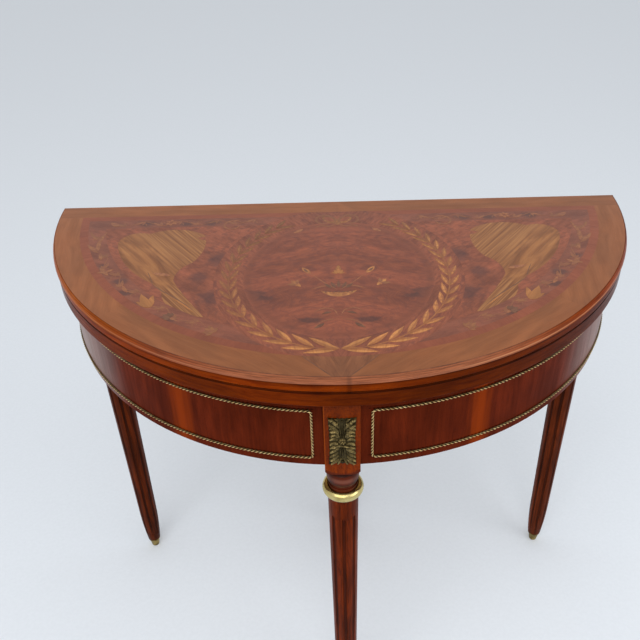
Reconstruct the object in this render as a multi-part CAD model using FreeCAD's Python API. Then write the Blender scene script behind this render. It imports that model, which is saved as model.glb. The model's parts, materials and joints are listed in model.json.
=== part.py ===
"""Half-round fold-over table with a marquetry top, fluted legs and a swinging gate leg.

Sizes are in millimetres.  +Z is up, the curved front faces -Y and the straight back faces +Y.
The origin is on the floor below the middle of the table's box.
"""
import FreeCAD, Part
import math
import os

Vector = FreeCAD.Vector
UP = Vector(0, 0, 1)
DIAGONAL = math.sqrt(0.5)

# Top: two half-round leaves, one folded on the other
table_height = 762.0
top_radius = 457.0
leaf_thickness = 23.0
leaf_gap = 0.5
lipping_width = 4.0
back_lipping_width = 22.0
veneer_thickness = 1.0
nosing_width = 3.0
nosing_height = 10.0
nosing_step = 1.5
arris_radius = 1.5
lower_edge_radius = 2.0

# Bands of the marquetry, and the radius of the ground that they leave
border_width = 38.0
back_border_width = 36.0
crossband_width = 13.0
scroll_band_width = 27.0
ground_radius = top_radius - lipping_width - border_width - crossband_width - scroll_band_width

# Motifs of the marquetry, in proportion to the ground
dart_half_width = 0.128 * ground_radius
dart_point_half_width = 0.0267 * ground_radius
oval_centre = 0.6 * ground_radius
oval_half_width = 0.416 * ground_radius
oval_half_length = 0.467 * ground_radius
oval_band_width = 0.112 * ground_radius
leaf_pairs = 17
laurel_front_pairs = 5
laurel_front_step = 10.6
laurel_side_step = 8.0
laurel_front_length = 0.1 * ground_radius
laurel_side_length = 0.078 * ground_radius
laurel_half_width = 0.0098 * ground_radius
laurel_front_outer_tilt = 10.0
laurel_side_outer_tilt = 20.0
laurel_front_inner_tilt = 33.0
laurel_side_inner_tilt = 25.0
laurel_stem_gap = 0.0027 * ground_radius
laurel_start = 0.15
basket_half_width = 0.067 * ground_radius
basket_depth = 0.04 * ground_radius
basket_rim_sag = 0.0135 * ground_radius
basket_centre = 0.715 * ground_radius
bud_length = 0.0587 * ground_radius
bud_half_width = 0.0107 * ground_radius
bud_places = ((-1.8, 35.0), (0.0, 0.0), (1.8, -35.0))
side_leaf_place = 2.4
side_leaf_lean = 40.0
bow_centre = back_border_width + 0.104 * ground_radius
bow_loop_length = 0.0907 * ground_radius
bow_loop_half_width = 0.0253 * ground_radius
bow_ribbon_width = 0.0107 * ground_radius
bow_knot_radius = 0.012 * ground_radius
bow_lean = 42.0
fan_tail = (0.48, 0.867)
fan_tail_corner = (0.501, 0.832)
fan_tail_side = (0.549, 0.76)
fan_waist = (0.624, 0.627)
fan_heel_side = (0.616, 0.555)
fan_heel = (0.571, 0.496)
fan_inner_side = (0.541, 0.413)
fan_inner_tip = (0.547, 0.28)
fan_lobe_crown = (0.672, 0.224)
fan_lobe_end = (0.781, 0.256)
fan_outer_crown = (0.867, 0.261)
fan_outer_tip = (0.899, 0.333)
fan_outer_side = (0.851, 0.469)
fan_throat = (0.699, 0.643)
fan_tail_shoulder = (0.656, 0.704)
fan_tail_edge = (0.603, 0.811)

# Butt hinges in the back edges
hinge_end_distance = 157.0
hinge_length = 64.0
hinge_plate_height = 18.0
hinge_plate_thickness = 2.0
barrel_radius = 3.5
hinge_pin_radius = 1.6
hinge_knuckles = 5
hinge_knuckle_gap = 0.3
barrel_clearance = 0.4
pin_clearance = 0.05
screw_head_radius = 3.2
screw_shank_radius = 1.6
screw_head_depth = 1.6
hinge_screw_length = 15.0
hinge_screw_pitch = 23.0
large_screw_scale = 1.4

# Curved apron
apron_overhang = 14.0
apron_thickness = 22.0
apron_height = 111.5
apron_back_inset = 6.0
rope_radius = 2.5
rope_post_scale = 0.94
rope_top_inset = 17.5
rope_bottom_inset = 13.5
rope_end_inset = 15.0

# Legs
block_width = 46.5
block_drop = 15.0
block_proud = 4.0
block_shoulder = 10.0
side_leg_angle = 78.5
side_leg_inset = 31.0
neck_height = 37.5
neck_cove_height = 8.0
neck_cove_radius = 18.5
neck_bead_height = 20.0
neck_bead_radius = 22.4
neck_radius = 20.5
neck_foot_height = 5.0
neck_groove_depth = 1.2
ring_height = 15.0
ring_radius = 28.5
ring_seat_radius = 18.0
ring_clearance = 0.03
spigot_radius = 11.0
spigot_length = 30.0
socket_end_gap = 1.0
shaft_top_radius = 21.25
shaft_ankle_radius = 17.2
shaft_ankle_height = 100.0
shaft_foot_radius = 12.4
shaft_ankle_bulge = 0.68
flute_count = 8
flute_radius = 3.2
flute_depth = 2.2
flute_top_gap = 41.0
flute_foot_gap = 20.0
flute_foot_taper = 0.85
sabot_height = 23.0
sabot_bead_radius = 12.0
sabot_bead_height = 4.0
sabot_collar_radius = 11.3
sabot_fillet = 1.0
sabot_foot_radius = 6.0
sabot_foot_round = 1.5
sabot_floor = 9.0
sabot_spigot_radius = 8.0

# Cast plaque on the front block
mount_width = 35.5
mount_height = 81.0
mount_plate_thickness = 1.8
mount_lower = 9.0
mount_waist = 0.86
mount_end_dip = 0.95
mount_boss_radius = 7.5
mount_boss_depth = 5.2
mount_leaf_lean = 24.0
mount_leaf_length = 0.82
mount_petal_length = 0.64
mount_leaf_breadth = 0.24
mount_petal_breadth = 0.2
mount_petal_angles = (58.0, 90.0, 122.0)
mount_pin_radius = 1.0
mount_pin_head_radius = 1.9
mount_pin_length = 10.0
mount_pin_place = 0.87

# Rails, brace and blocks behind the apron
rail_thickness = 22.0
rail_height = 84.0
rail_setback = 1.3
tenon_thickness = 10.0
tenon_shoulder = 12.0
tenon_length = 15.0
rail_tenon_stop = 8.0
brace_width = 20.0
brace_height = 60.0
glue_block_length = 44.0
glue_block_size = 30.0
glue_block_angles = (-66.0, -46.0, -24.0, 24.0, 46.0, 66.0)
top_screw_bite = 14.0

# Gate: a fly rail on a wooden finger hinge, carrying the fourth leg
gate_block_length = 86.0
gate_block_setback = 9.5
gate_rail_gap = 2.0
gate_top_gap = 0.8
gate_fingers = 5
gate_finger_gap = 0.4
gate_end_gap = 0.5
gate_pin_radius = 3.0
gate_screw_bite = 12.0
gate_screw_rows = (0.2, 0.8)
gate_screw_columns = (0.4, 0.85)

# Levels and centres that follow from the sizes above
hinge_y = (top_radius - barrel_radius) / 2
flap_bottom = table_height - leaf_thickness
lower_top = flap_bottom - leaf_gap
lower_bottom = lower_top - leaf_thickness
hinge_z = (flap_bottom + lower_top) / 2
leaf_back = -leaf_gap / 2
core_radius = top_radius - lipping_width
core_back = leaf_back - back_lipping_width
body_radius = top_radius - nosing_step
marquetry_bottom = table_height - veneer_thickness
apron_radius = top_radius - apron_overhang
apron_inner = apron_radius - apron_thickness
apron_bottom = lower_bottom - apron_height
hinge_offset = top_radius - hinge_end_distance
half_block = block_width / 2
block_height = apron_height + block_drop
block_bottom = lower_bottom - block_height
front_leg_radius = apron_radius + block_proud - half_block
ring_top = block_bottom - neck_height
ring_bottom = ring_top - ring_height
side_leg_sine = math.sin(math.radians(side_leg_angle))
side_leg_cosine = math.cos(math.radians(side_leg_angle))
side_leg_radius = apron_radius - side_leg_inset
side_leg_x = side_leg_radius * side_leg_sine
side_corner_x = (side_leg_radius - half_block) * side_leg_sine + half_block * side_leg_cosine
side_corner_y = (side_leg_radius - half_block) * side_leg_cosine - half_block * side_leg_sine
rail_bottom = lower_bottom - rail_height
rail_back = side_corner_y + rail_setback
rail_front = rail_back + rail_thickness
gate_front = rail_back - gate_rail_gap
gate_pivot_y = -gate_front + rail_thickness / 2
gate_leg_y = -gate_front + half_block
gate_top = lower_bottom - gate_top_gap
gate_pivot_offset = side_corner_x - gate_block_setback - gate_block_length

# Tools pass through what they cut by these amounts
overcut = 1.0
reach = 2 * top_radius


def at(x, y, z):
    """Point with y measured from the hinge line, which is the centre of the half circle."""
    return Vector(x, hinge_y + y, z)


def polar(radius, angle, z):
    """Point at an angle in degrees from the front, positive to the right."""
    turn = math.radians(angle)
    return at(radius * math.sin(turn), -radius * math.cos(turn), z)


def box(x0, x1, y0, y1, z0, z1):
    """Block between two corners."""
    return Part.makeBox(x1 - x0, y1 - y0, z1 - z0, at(x0, y0, z0))


def disc(radius, z0, z1):
    """Round slab about the centre of the half circle."""
    return Part.makeCylinder(radius, z1 - z0, at(0, 0, z0))


def half_disc(radius, back, z0, z1):
    """Half-round slab in front of the line y = back."""
    return disc(radius, z0, z1).common(box(-reach, reach, -reach, back, z0 - overcut, z1 + overcut))


def group(shapes):
    """Separate solids that belong to one node."""
    return Part.makeCompound(shapes)


def outline(start, *steps):
    """Closed face.  A step is a point for a line, or a pair (through, end) for an arc."""
    edges = []
    here = start
    for step in steps:
        if isinstance(step, tuple):
            through, end = step
            edges.append(Part.Arc(here, through, end).toShape())
        else:
            end = step
            edges.append(Part.LineSegment(here, end).toShape())
        here = end
    if not here.isEqual(start, 1e-6):
        edges.append(Part.LineSegment(here, start).toShape())
    return Part.Face(Part.Wire(edges))


def section(radius, z):
    """Point of a turned profile."""
    return Vector(radius, 0, z)


def turned(face):
    """Solid of revolution about the z axis."""
    return face.revolve(Vector(0, 0, 0), UP, 360)


def veneer_slab(face):
    """Marquetry piece: a face drawn at the table height, carried down through the veneer."""
    return face.extrude(Vector(0, 0, -veneer_thickness))


def capsule(radius, start, end):
    """Round-ended rod between two points."""
    axis = end - start
    length = axis.Length
    profile = outline(
        section(0, -radius),
        (section(radius * DIAGONAL, -radius * DIAGONAL), section(radius, 0)),
        section(radius, length),
        (section(radius * DIAGONAL, length + radius * DIAGONAL), section(0, length + radius)),
    )
    rod = turned(profile)
    rod.Placement = FreeCAD.Placement(start, FreeCAD.Rotation(UP, axis))
    return rod


def wood_screw(head, direction, length, scale=1.0):
    """Countersunk screw with its flat head centred on a point."""
    head_radius = screw_head_radius * scale
    shank_radius = screw_shank_radius * scale
    head_depth = screw_head_depth * scale
    profile = outline(
        section(0, 0),
        section(head_radius, 0),
        section(shank_radius, head_depth),
        section(shank_radius, length - 2 * shank_radius),
        section(0, length),
    )
    screw = turned(profile)
    screw.Placement = FreeCAD.Placement(head, FreeCAD.Rotation(UP, direction))
    return screw


# Upper leaf


def nosing_profile():
    """Rounded upper edge, small step, upright band."""
    ease = arris_radius * (1 - DIAGONAL)
    nosing_bottom = table_height - nosing_height
    bend = (nosing_width**2 + nosing_height**2) / (2 * nosing_width)
    half_turn = math.asin(nosing_height / bend) / 2
    return outline(
        section(core_radius, flap_bottom),
        section(body_radius - arris_radius, flap_bottom),
        (section(body_radius - ease, flap_bottom + ease), section(body_radius, flap_bottom + arris_radius)),
        section(body_radius, nosing_bottom),
        section(top_radius, nosing_bottom),
        (section(top_radius - bend * (1 - math.cos(half_turn)), nosing_bottom + bend * math.sin(half_turn)),
         section(top_radius - nosing_width, table_height)),
        section(core_radius, table_height),
    )


def lower_edge_profile():
    """Upright band with both arrises eased."""
    top_ease = arris_radius * (1 - DIAGONAL)
    bottom_ease = lower_edge_radius * (1 - DIAGONAL)
    return outline(
        section(core_radius, lower_bottom),
        section(body_radius - lower_edge_radius, lower_bottom),
        (section(body_radius - bottom_ease, lower_bottom + bottom_ease),
         section(body_radius, lower_bottom + lower_edge_radius)),
        section(body_radius, lower_top - arris_radius),
        (section(body_radius - top_ease, lower_top - top_ease),
         section(body_radius - arris_radius, lower_top)),
        section(core_radius, lower_top),
    )


def edge_lipping(profile):
    """Half ring swept by an edge profile."""
    ring = turned(profile)
    ring.translate(at(0, 0, 0))
    return ring.common(box(-reach, reach, -reach, leaf_back, 0, table_height + overcut))


def back_lipping(z0, z1):
    """Straight strip along the back edge, ending on the curved lipping."""
    front = half_disc(reach, core_back, z0 - overcut, z1 + overcut)
    return half_disc(core_radius, leaf_back, z0, z1).cut(front)


def field(inset):
    """Area of the top inside the border, drawn in by an inset."""
    radius = core_radius - border_width - inset
    return half_disc(radius, -back_border_width - inset, marquetry_bottom, table_height)


def oval(grow):
    """Upright oval slab, the wreath line grown by an amount."""
    centre = at(0, -oval_centre, table_height)
    along = centre + Vector(0, oval_half_length + grow, 0)
    across = centre - Vector(oval_half_width + grow, 0, 0)
    return veneer_slab(Part.Face(Part.Wire(Part.Ellipse(along, across, centre).toShape())))


def lens(base, direction, length, half_width):
    """Pointed leaf shape of two arcs."""
    along = Vector(direction).normalize()
    aside = Vector(-along.y, along.x, 0)
    tip = base + along * length
    middle = base + along * (length / 2)
    return veneer_slab(outline(base, (middle + aside * half_width, tip), (middle - aside * half_width, base)))


def heading(angle):
    """Level direction at an angle in degrees from +X."""
    turn = math.radians(angle)
    return Vector(math.cos(turn), math.sin(turn), 0)


def laurel_turn(index):
    """Place of a pair of leaves on its branch, as a turn round the oval from the front."""
    step = index + laurel_start
    front = min(step, laurel_front_pairs)
    return math.radians(front * laurel_front_step + (step - front) * laurel_side_step)


def along_branch(index, front, side):
    """Value that changes over the front pairs of a branch and then holds along the side of the oval."""
    return front + (side - front) * min(index / laurel_front_pairs, 1.0)


def laurel_leaves():
    """Two branches that start at the front of the oval and rise on both sides."""
    leaves = []
    for side in (-1, 1):
        for index in range(leaf_pairs):
            turn = laurel_turn(index)
            length = along_branch(index, laurel_front_length, laurel_side_length)
            inner_tilt = along_branch(index, laurel_front_inner_tilt, laurel_side_inner_tilt)
            outer_tilt = along_branch(index, laurel_front_outer_tilt, laurel_side_outer_tilt)
            stem = at(
                side * oval_half_width * math.sin(turn),
                -oval_centre - oval_half_length * math.cos(turn),
                table_height,
            )
            tangent = math.degrees(
                math.atan2(oval_half_length * math.sin(turn), side * oval_half_width * math.cos(turn))
            )
            for lean in (-1, 1):
                tilt = inner_tilt if lean == side else outer_tilt
                base = stem + heading(tangent + lean * 90) * laurel_stem_gap
                leaves.append(lens(base, heading(tangent + lean * tilt), length, laurel_half_width))
    return leaves


def fan(side):
    """Scalloped fan with a waisted, flaring tail, in the spandrel on one side."""

    def p(share):
        across, forward = share
        return at(side * across * ground_radius, -forward * ground_radius, table_height)

    return veneer_slab(
        outline(
            p(fan_tail),
            p(fan_tail_corner),
            (p(fan_tail_side), p(fan_waist)),
            (p(fan_heel_side), p(fan_heel)),
            (p(fan_inner_side), p(fan_inner_tip)),
            (p(fan_lobe_crown), p(fan_lobe_end)),
            (p(fan_outer_crown), p(fan_outer_tip)),
            (p(fan_outer_side), p(fan_throat)),
            p(fan_tail_shoulder),
            (p(fan_tail_edge), p(fan_tail)),
        )
    )


def basket():
    """Shallow bowl with three buds above it and a leaf at each side."""
    rim = -basket_centre
    pieces = [
        veneer_slab(
            outline(
                at(-basket_half_width, rim, table_height),
                (at(0, rim - basket_rim_sag, table_height), at(basket_half_width, rim, table_height)),
                (at(0, rim - basket_depth, table_height), at(-basket_half_width, rim, table_height)),
            )
        )
    ]
    bud_line = rim + 2 * bud_length
    for place, lean in bud_places:
        base = at(place * bud_length, bud_line, table_height)
        pieces.append(lens(base, heading(90 + lean), bud_length, bud_half_width))
    for side in (-1, 1):
        base = at(side * side_leaf_place * bud_length, rim + bud_length / 2, table_height)
        pieces.append(lens(base, heading(90 - side * side_leaf_lean), bud_length, bud_half_width))
    return pieces


def ribbon_bow():
    """Two loops on a round knot."""
    knot_centre = at(0, -bow_centre, table_height)
    knot = veneer_slab(Part.Face(Part.Wire(Part.Circle(knot_centre, UP, bow_knot_radius).toShape())))
    loops = []
    for side in (-1, 1):
        direction = heading(90 - side * bow_lean)
        loop = lens(knot_centre, direction, bow_loop_length, bow_loop_half_width)
        eye = lens(
            knot_centre + direction * (2 * bow_ribbon_width),
            direction,
            bow_loop_length - 3 * bow_ribbon_width,
            bow_loop_half_width - bow_ribbon_width,
        )
        loops.append(loop.cut(eye))
    return knot.fuse(loops)


def front_dart():
    """Wedge across the curved border, its narrow end at the rim."""
    inner = core_radius - border_width
    shoulder = math.sqrt(inner**2 - dart_half_width**2)
    wedge = veneer_slab(
        outline(
            at(-dart_half_width, -inner / 2, table_height),
            at(-dart_half_width, -shoulder, table_height),
            at(-dart_point_half_width, -core_radius - overcut, table_height),
            at(dart_point_half_width, -core_radius - overcut, table_height),
            at(dart_half_width, -shoulder, table_height),
            at(dart_half_width, -inner / 2, table_height),
        )
    )
    return wedge.common(disc(core_radius, marquetry_bottom, table_height)).cut(field(0))


def marquetry():
    """Pieces of the veneered upper face, each let into the one around it."""
    whole_oval = oval(oval_band_width / 2).common(field(0))
    medallion = oval(-oval_band_width / 2)
    bow = ribbon_bow()
    leaves = [leaf.common(whole_oval).cut(bow) for leaf in laurel_leaves()]
    flowers = basket()
    fans = {}
    for name, side in (("left", -1), ("right", 1)):
        fans[name] = fan(side).common(field(crossband_width + scroll_band_width)).cut(whole_oval)
    dart = front_dart()
    border = half_disc(core_radius, leaf_back, marquetry_bottom, table_height).cut(field(0)).cut(dart)
    crossband = field(0).cut(field(crossband_width)).cut(whole_oval)
    scroll_field = field(crossband_width + scroll_band_width)
    scroll_band = field(crossband_width).cut(scroll_field).cut(whole_oval)
    ground = scroll_field.cut(whole_oval).cut(list(fans.values()))
    return {
        "flap_border_veneer": border,
        "flap_front_dart": dart,
        "flap_crossband": crossband,
        "flap_scroll_band": scroll_band,
        "flap_ground_veneer": ground,
        "fan_inlay_left": fans["left"],
        "fan_inlay_right": fans["right"],
        "oval_band_veneer": whole_oval.cut(medallion).cut(leaves + [bow]),
        "medallion_veneer": medallion.cut(leaves + [bow] + flowers),
        "wreath_inlay": group(leaves),
        "bow_inlay": bow,
        "basket_inlay": group(flowers),
    }


# Hinges in the back edges of the leaves


def barrel(radius, centre_x, start, length):
    """Rod along the hinge line."""
    return Part.makeCylinder(radius, length, at(centre_x + start, 0, hinge_z), Vector(1, 0, 0))


def hinge_plate(centre_x, direction):
    """Plate with its knuckles: direction is -1 for the lower leaf and 1 for the flap."""
    low = min(hinge_z, hinge_z + direction * hinge_plate_height)
    half = hinge_length / 2
    plate = box(
        centre_x - half,
        centre_x + half,
        leaf_back - hinge_plate_thickness,
        leaf_back,
        low,
        low + hinge_plate_height,
    )
    pitch = (hinge_length + hinge_knuckle_gap) / hinge_knuckles
    knuckle = pitch - hinge_knuckle_gap
    own_turn = 0 if direction < 0 else 1
    for index in range(hinge_knuckles):
        start = index * pitch - half
        if index % 2 == own_turn:
            plate = plate.fuse(barrel(barrel_radius, centre_x, start, knuckle))
        else:
            clear = barrel(
                barrel_radius + barrel_clearance,
                centre_x,
                start - hinge_knuckle_gap,
                knuckle + 2 * hinge_knuckle_gap,
            )
            plate = plate.cut(clear)
    bore = barrel(hinge_pin_radius + pin_clearance, centre_x, -hinge_length, 2 * hinge_length)
    return plate.cut(bore).removeSplitter()


def hinge_screws(centre_x, direction):
    """Row of screws through one plate."""
    level = hinge_z + direction * (barrel_radius + hinge_plate_height) / 2
    heads = [at(centre_x + step * hinge_screw_pitch, leaf_back, level) for step in (-1, 0, 1)]
    return [wood_screw(head, Vector(0, -1, 0), hinge_screw_length) for head in heads]


def hinge_mortise(centre_x, direction):
    """Space in one leaf for the plate and the barrel."""
    half = hinge_length / 2
    low = min(hinge_z, hinge_z + direction * hinge_plate_height)
    seat = box(
        centre_x - half,
        centre_x + half,
        leaf_back - hinge_plate_thickness,
        overcut,
        low,
        low + hinge_plate_height,
    )
    groove = barrel(barrel_radius + barrel_clearance, centre_x, -half, hinge_length)
    return seat.fuse(groove)


def leaves_and_hinges():
    """Both leaves, cut for the hinges that join them."""
    nodes = {
        "flap_core": half_disc(core_radius, core_back, flap_bottom + veneer_thickness, marquetry_bottom),
        "flap_edge_lipping": edge_lipping(nosing_profile()),
        "flap_back_lipping": back_lipping(flap_bottom + veneer_thickness, marquetry_bottom),
        "flap_inner_veneer": half_disc(core_radius, leaf_back, flap_bottom, flap_bottom + veneer_thickness),
        "lower_core": half_disc(core_radius, core_back, lower_bottom, lower_top - veneer_thickness),
        "lower_edge_lipping": edge_lipping(lower_edge_profile()),
        "lower_back_lipping": back_lipping(lower_bottom, lower_top - veneer_thickness),
        "lower_top_veneer": half_disc(core_radius, leaf_back, lower_top - veneer_thickness, lower_top),
    }
    cut_nodes = {
        1: ("flap_back_lipping", "flap_inner_veneer"),
        -1: ("lower_back_lipping", "lower_top_veneer"),
    }
    plates = {1: [], -1: []}
    screws = {1: [], -1: []}
    for direction in (1, -1):
        for centre_x in (-hinge_offset, hinge_offset):
            row = hinge_screws(centre_x, direction)
            mortise = hinge_mortise(centre_x, direction)
            plates[direction].append(hinge_plate(centre_x, direction).cut(row))
            screws[direction].extend(row)
            for name in cut_nodes[direction]:
                nodes[name] = nodes[name].cut([mortise] + row)
    pins = [
        barrel(hinge_pin_radius, centre_x, -hinge_length / 2, hinge_length)
        for centre_x in (-hinge_offset, hinge_offset)
    ]
    nodes["hinge_flap_plates"] = group(plates[1])
    nodes["hinge_fixed_plates"] = group(plates[-1])
    nodes["hinge_flap_screws"] = group(screws[1])
    nodes["hinge_fixed_screws"] = group(screws[-1])
    nodes["hinge_pins"] = group(pins)
    return nodes


# Legs, made about the z axis and then stood in place


def leg_head(top):
    """Square block with a turned shoulder, neck and spigot."""
    corner = half_block / DIAGONAL + overcut
    mid_corner = half_block + (corner - half_block) * DIAGONAL
    block = Part.makeBox(
        block_width, block_width, top - block_bottom, Vector(-half_block, -half_block, block_bottom)
    )
    shoulder = outline(
        section(0, block_bottom),
        section(half_block, block_bottom),
        (section(mid_corner, block_bottom + block_shoulder * (1 - DIAGONAL)),
         section(corner, block_bottom + block_shoulder)),
        section(corner, top + overcut),
        section(0, top + overcut),
    )
    bead_top = block_bottom - neck_cove_height
    bead_bottom = bead_top - neck_bead_height
    foot_top = ring_top + neck_foot_height
    groove_radius = neck_radius - neck_groove_depth
    neck = outline(
        section(0, block_bottom),
        section(neck_radius, block_bottom),
        (section(neck_cove_radius, (block_bottom + bead_top) / 2), section(neck_radius, bead_top)),
        (section(neck_bead_radius, (bead_top + bead_bottom) / 2), section(neck_radius, bead_bottom)),
        section(groove_radius, bead_bottom),
        section(groove_radius, foot_top),
        section(neck_radius, foot_top),
        section(neck_radius, ring_top),
        section(spigot_radius, ring_top),
        section(spigot_radius, ring_top - spigot_length),
        section(0, ring_top - spigot_length),
    )
    return block.common(turned(shoulder)).fuse(turned(neck))


def shaft_radius(z):
    """Radius of the straight taper above the ankle."""
    rise = (z - shaft_ankle_height) / (ring_bottom - shaft_ankle_height)
    return shaft_ankle_radius + (shaft_top_radius - shaft_ankle_radius) * rise


def leg_shaft():
    """Tapered, fluted shaft with a collar for the ring and a spigot for the sabot."""
    ankle_z = (sabot_height + shaft_ankle_height) / 2
    ankle_radius = shaft_foot_radius + shaft_ankle_bulge * (shaft_ankle_radius - shaft_foot_radius)
    socket_radius = spigot_radius + ring_clearance
    socket_floor = ring_top - spigot_length - socket_end_gap
    shaft = turned(
        outline(
            section(0, sabot_floor + socket_end_gap),
            section(sabot_spigot_radius, sabot_floor + socket_end_gap),
            section(sabot_spigot_radius, sabot_height),
            section(shaft_foot_radius, sabot_height),
            (section(ankle_radius, ankle_z), section(shaft_ankle_radius, shaft_ankle_height)),
            section(shaft_top_radius, ring_bottom),
            section(ring_seat_radius, ring_bottom),
            section(ring_seat_radius, ring_top),
            section(socket_radius, ring_top),
            section(socket_radius, socket_floor),
            section(0, socket_floor),
        )
    )
    lift = flute_radius - flute_depth
    flute_top = ring_bottom - flute_top_gap
    flute_foot = sabot_height + flute_foot_gap
    foot_blend = (flute_foot - sabot_height) / (shaft_ankle_height - sabot_height)
    foot_radius = shaft_foot_radius + (shaft_ankle_radius - shaft_foot_radius) * math.sqrt(foot_blend)
    upper = capsule(
        flute_radius,
        section(shaft_radius(shaft_ankle_height) + lift, shaft_ankle_height),
        section(shaft_radius(flute_top) + lift, flute_top),
    )
    lower_radius = flute_radius * flute_foot_taper
    lower = capsule(
        lower_radius,
        section(foot_radius + lift, flute_foot),
        section(shaft_ankle_radius + lift, shaft_ankle_height),
    )
    for run in (upper, lower):
        tools = []
        for index in range(flute_count):
            tool = run.copy()
            tool.rotate(Vector(0, 0, 0), UP, index * 360 / flute_count - 90)
            tools.append(tool)
        shaft = shaft.cut(tools)
    return shaft


def leg_ring():
    """Half-round brass ring that sits on the collar of the shaft."""
    bore = ring_seat_radius + ring_clearance
    edge = ring_radius - ring_height / 2
    return turned(
        outline(
            section(bore, ring_bottom),
            section(edge, ring_bottom),
            (section(ring_radius, (ring_bottom + ring_top) / 2), section(edge, ring_top)),
            section(bore, ring_top),
        )
    )


def leg_sabot():
    """Tapered brass shoe with a beaded rim."""
    bore = sabot_spigot_radius + ring_clearance
    side = sabot_foot_radius + sabot_foot_round
    bead_bottom = sabot_height - sabot_bead_height
    return turned(
        outline(
            section(0, 0),
            section(sabot_foot_radius, 0),
            (section(sabot_foot_radius + sabot_foot_round * DIAGONAL, sabot_foot_round * (1 - DIAGONAL)),
             section(side, sabot_foot_round)),
            section(sabot_collar_radius - sabot_fillet, bead_bottom),
            section(sabot_collar_radius, bead_bottom),
            (section(sabot_bead_radius, sabot_height - sabot_bead_height / 2),
             section(sabot_collar_radius, sabot_height)),
            section(bore, sabot_height),
            section(bore, sabot_floor),
            section(0, sabot_floor),
        )
    )


def stood(shape, radius, angle):
    """Copy of a leg piece turned to face outwards and moved to its place round the half circle."""
    piece = shape.copy()
    piece.rotate(Vector(0, 0, 0), UP, angle)
    piece.translate(polar(radius, angle, 0))
    return piece


def legs():
    """Head, shaft, ring and sabot of every leg."""
    places = {
        "front_leg": (front_leg_radius, 0.0, lower_bottom),
        "left_leg": (side_leg_radius, -side_leg_angle, lower_bottom),
        "right_leg": (side_leg_radius, side_leg_angle, lower_bottom),
        "gate_leg": (-gate_leg_y, 0.0, gate_top),
    }
    shaft = leg_shaft()
    ring = leg_ring()
    sabot = leg_sabot()
    nodes = {}
    for name, (radius, angle, top) in places.items():
        nodes[name + "_head"] = stood(leg_head(top), radius, angle)
        nodes[name + "_shaft"] = stood(shaft, radius, angle)
        nodes[name + "_ring"] = stood(ring, radius, angle)
        nodes[name + "_sabot"] = stood(sabot, radius, angle)
    return nodes


# Apron and its brass trim


def apron(side):
    """Curved half of the apron, with a tenon for the front block and a housing for the side leg."""
    wide = sorted((side * half_block, side * reach))
    low = apron_bottom - overcut
    high = lower_bottom + overcut
    panel = disc(apron_radius, apron_bottom, lower_bottom).cut(disc(apron_inner, low, high))
    panel = panel.common(box(wide[0], wide[1], -reach, -apron_back_inset, low, high))
    mid_radius = (apron_radius + apron_inner) / 2
    block = Part.makeBox(
        block_width, block_width, block_height, Vector(-half_block, -half_block, block_bottom)
    )
    return panel.fuse(apron_tenon(side, mid_radius)).cut(stood(block, side_leg_radius, side * side_leg_angle))


def apron_tenon(side, mid_radius):
    """Tongue that enters the side of the front block."""
    ends = sorted((side * (half_block - tenon_length), side * (half_block + overcut)))
    return box(
        ends[0],
        ends[1],
        -mid_radius - tenon_thickness / 2,
        -mid_radius + tenon_thickness / 2,
        apron_bottom + tenon_shoulder,
        lower_bottom - tenon_shoulder,
    )


def rope_frame(side):
    """Half-round bead that frames one half of the apron: two curved runs and two upright posts."""
    low = apron_bottom + rope_bottom_inset
    high = lower_bottom - rope_top_inset
    start = math.degrees(math.asin((half_block + rope_end_inset) / apron_radius))
    end = 90 - math.degrees(math.asin((apron_back_inset + rope_end_inset) / apron_radius))
    overlap = math.degrees(rope_radius / apron_radius)
    post_half = rope_post_scale * overlap
    bead = outline(
        section(apron_radius, -rope_radius),
        (section(apron_radius + rope_radius, 0), section(apron_radius, rope_radius)),
    )
    pieces = []
    for level in (low, high):
        run = bead.revolve(Vector(0, 0, 0), UP, end - start + 2 * overlap)
        run.rotate(Vector(0, 0, 0), UP, (start if side > 0 else -end) - overlap - 90)
        run.translate(at(0, 0, level))
        pieces.append(run)
    for angle in (side * start, side * end):
        crown = polar(apron_radius + rope_post_scale * rope_radius, angle, low)
        foot = outline(
            polar(apron_radius, angle - post_half, low),
            (crown, polar(apron_radius, angle + post_half, low)),
            (polar(apron_radius, angle, low), polar(apron_radius, angle - post_half, low)),
        )
        pieces.append(foot.extrude(Vector(0, 0, high - low)))
    return pieces[0].fuse(pieces[1:])


# Plaque on the front block


def spindle(base, direction, length, half_width):
    """Leaf lobe: half of a pointed round body, flat against the block."""
    profile = outline(section(0, 0), (section(half_width, length / 2), section(0, length)))
    lobe = profile.revolve(Vector(0, 0, 0), -UP, 180)
    lobe.Placement = FreeCAD.Placement(base, FreeCAD.Rotation(UP, direction))
    return lobe


def mount_boss(centre):
    """Low dome at the middle of the plaque."""
    ball = (mount_boss_radius**2 + mount_boss_depth**2) / (2 * mount_boss_depth)
    half_turn = math.asin(mount_boss_radius / ball) / 2
    shoulder = section(ball * math.sin(half_turn), mount_boss_depth - ball * (1 - math.cos(half_turn)))
    boss = turned(
        outline(section(0, 0), section(mount_boss_radius, 0), (shoulder, section(0, mount_boss_depth)))
    )
    boss.Placement = FreeCAD.Placement(centre, FreeCAD.Rotation(UP, Vector(0, -1, 0)))
    return boss


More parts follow.
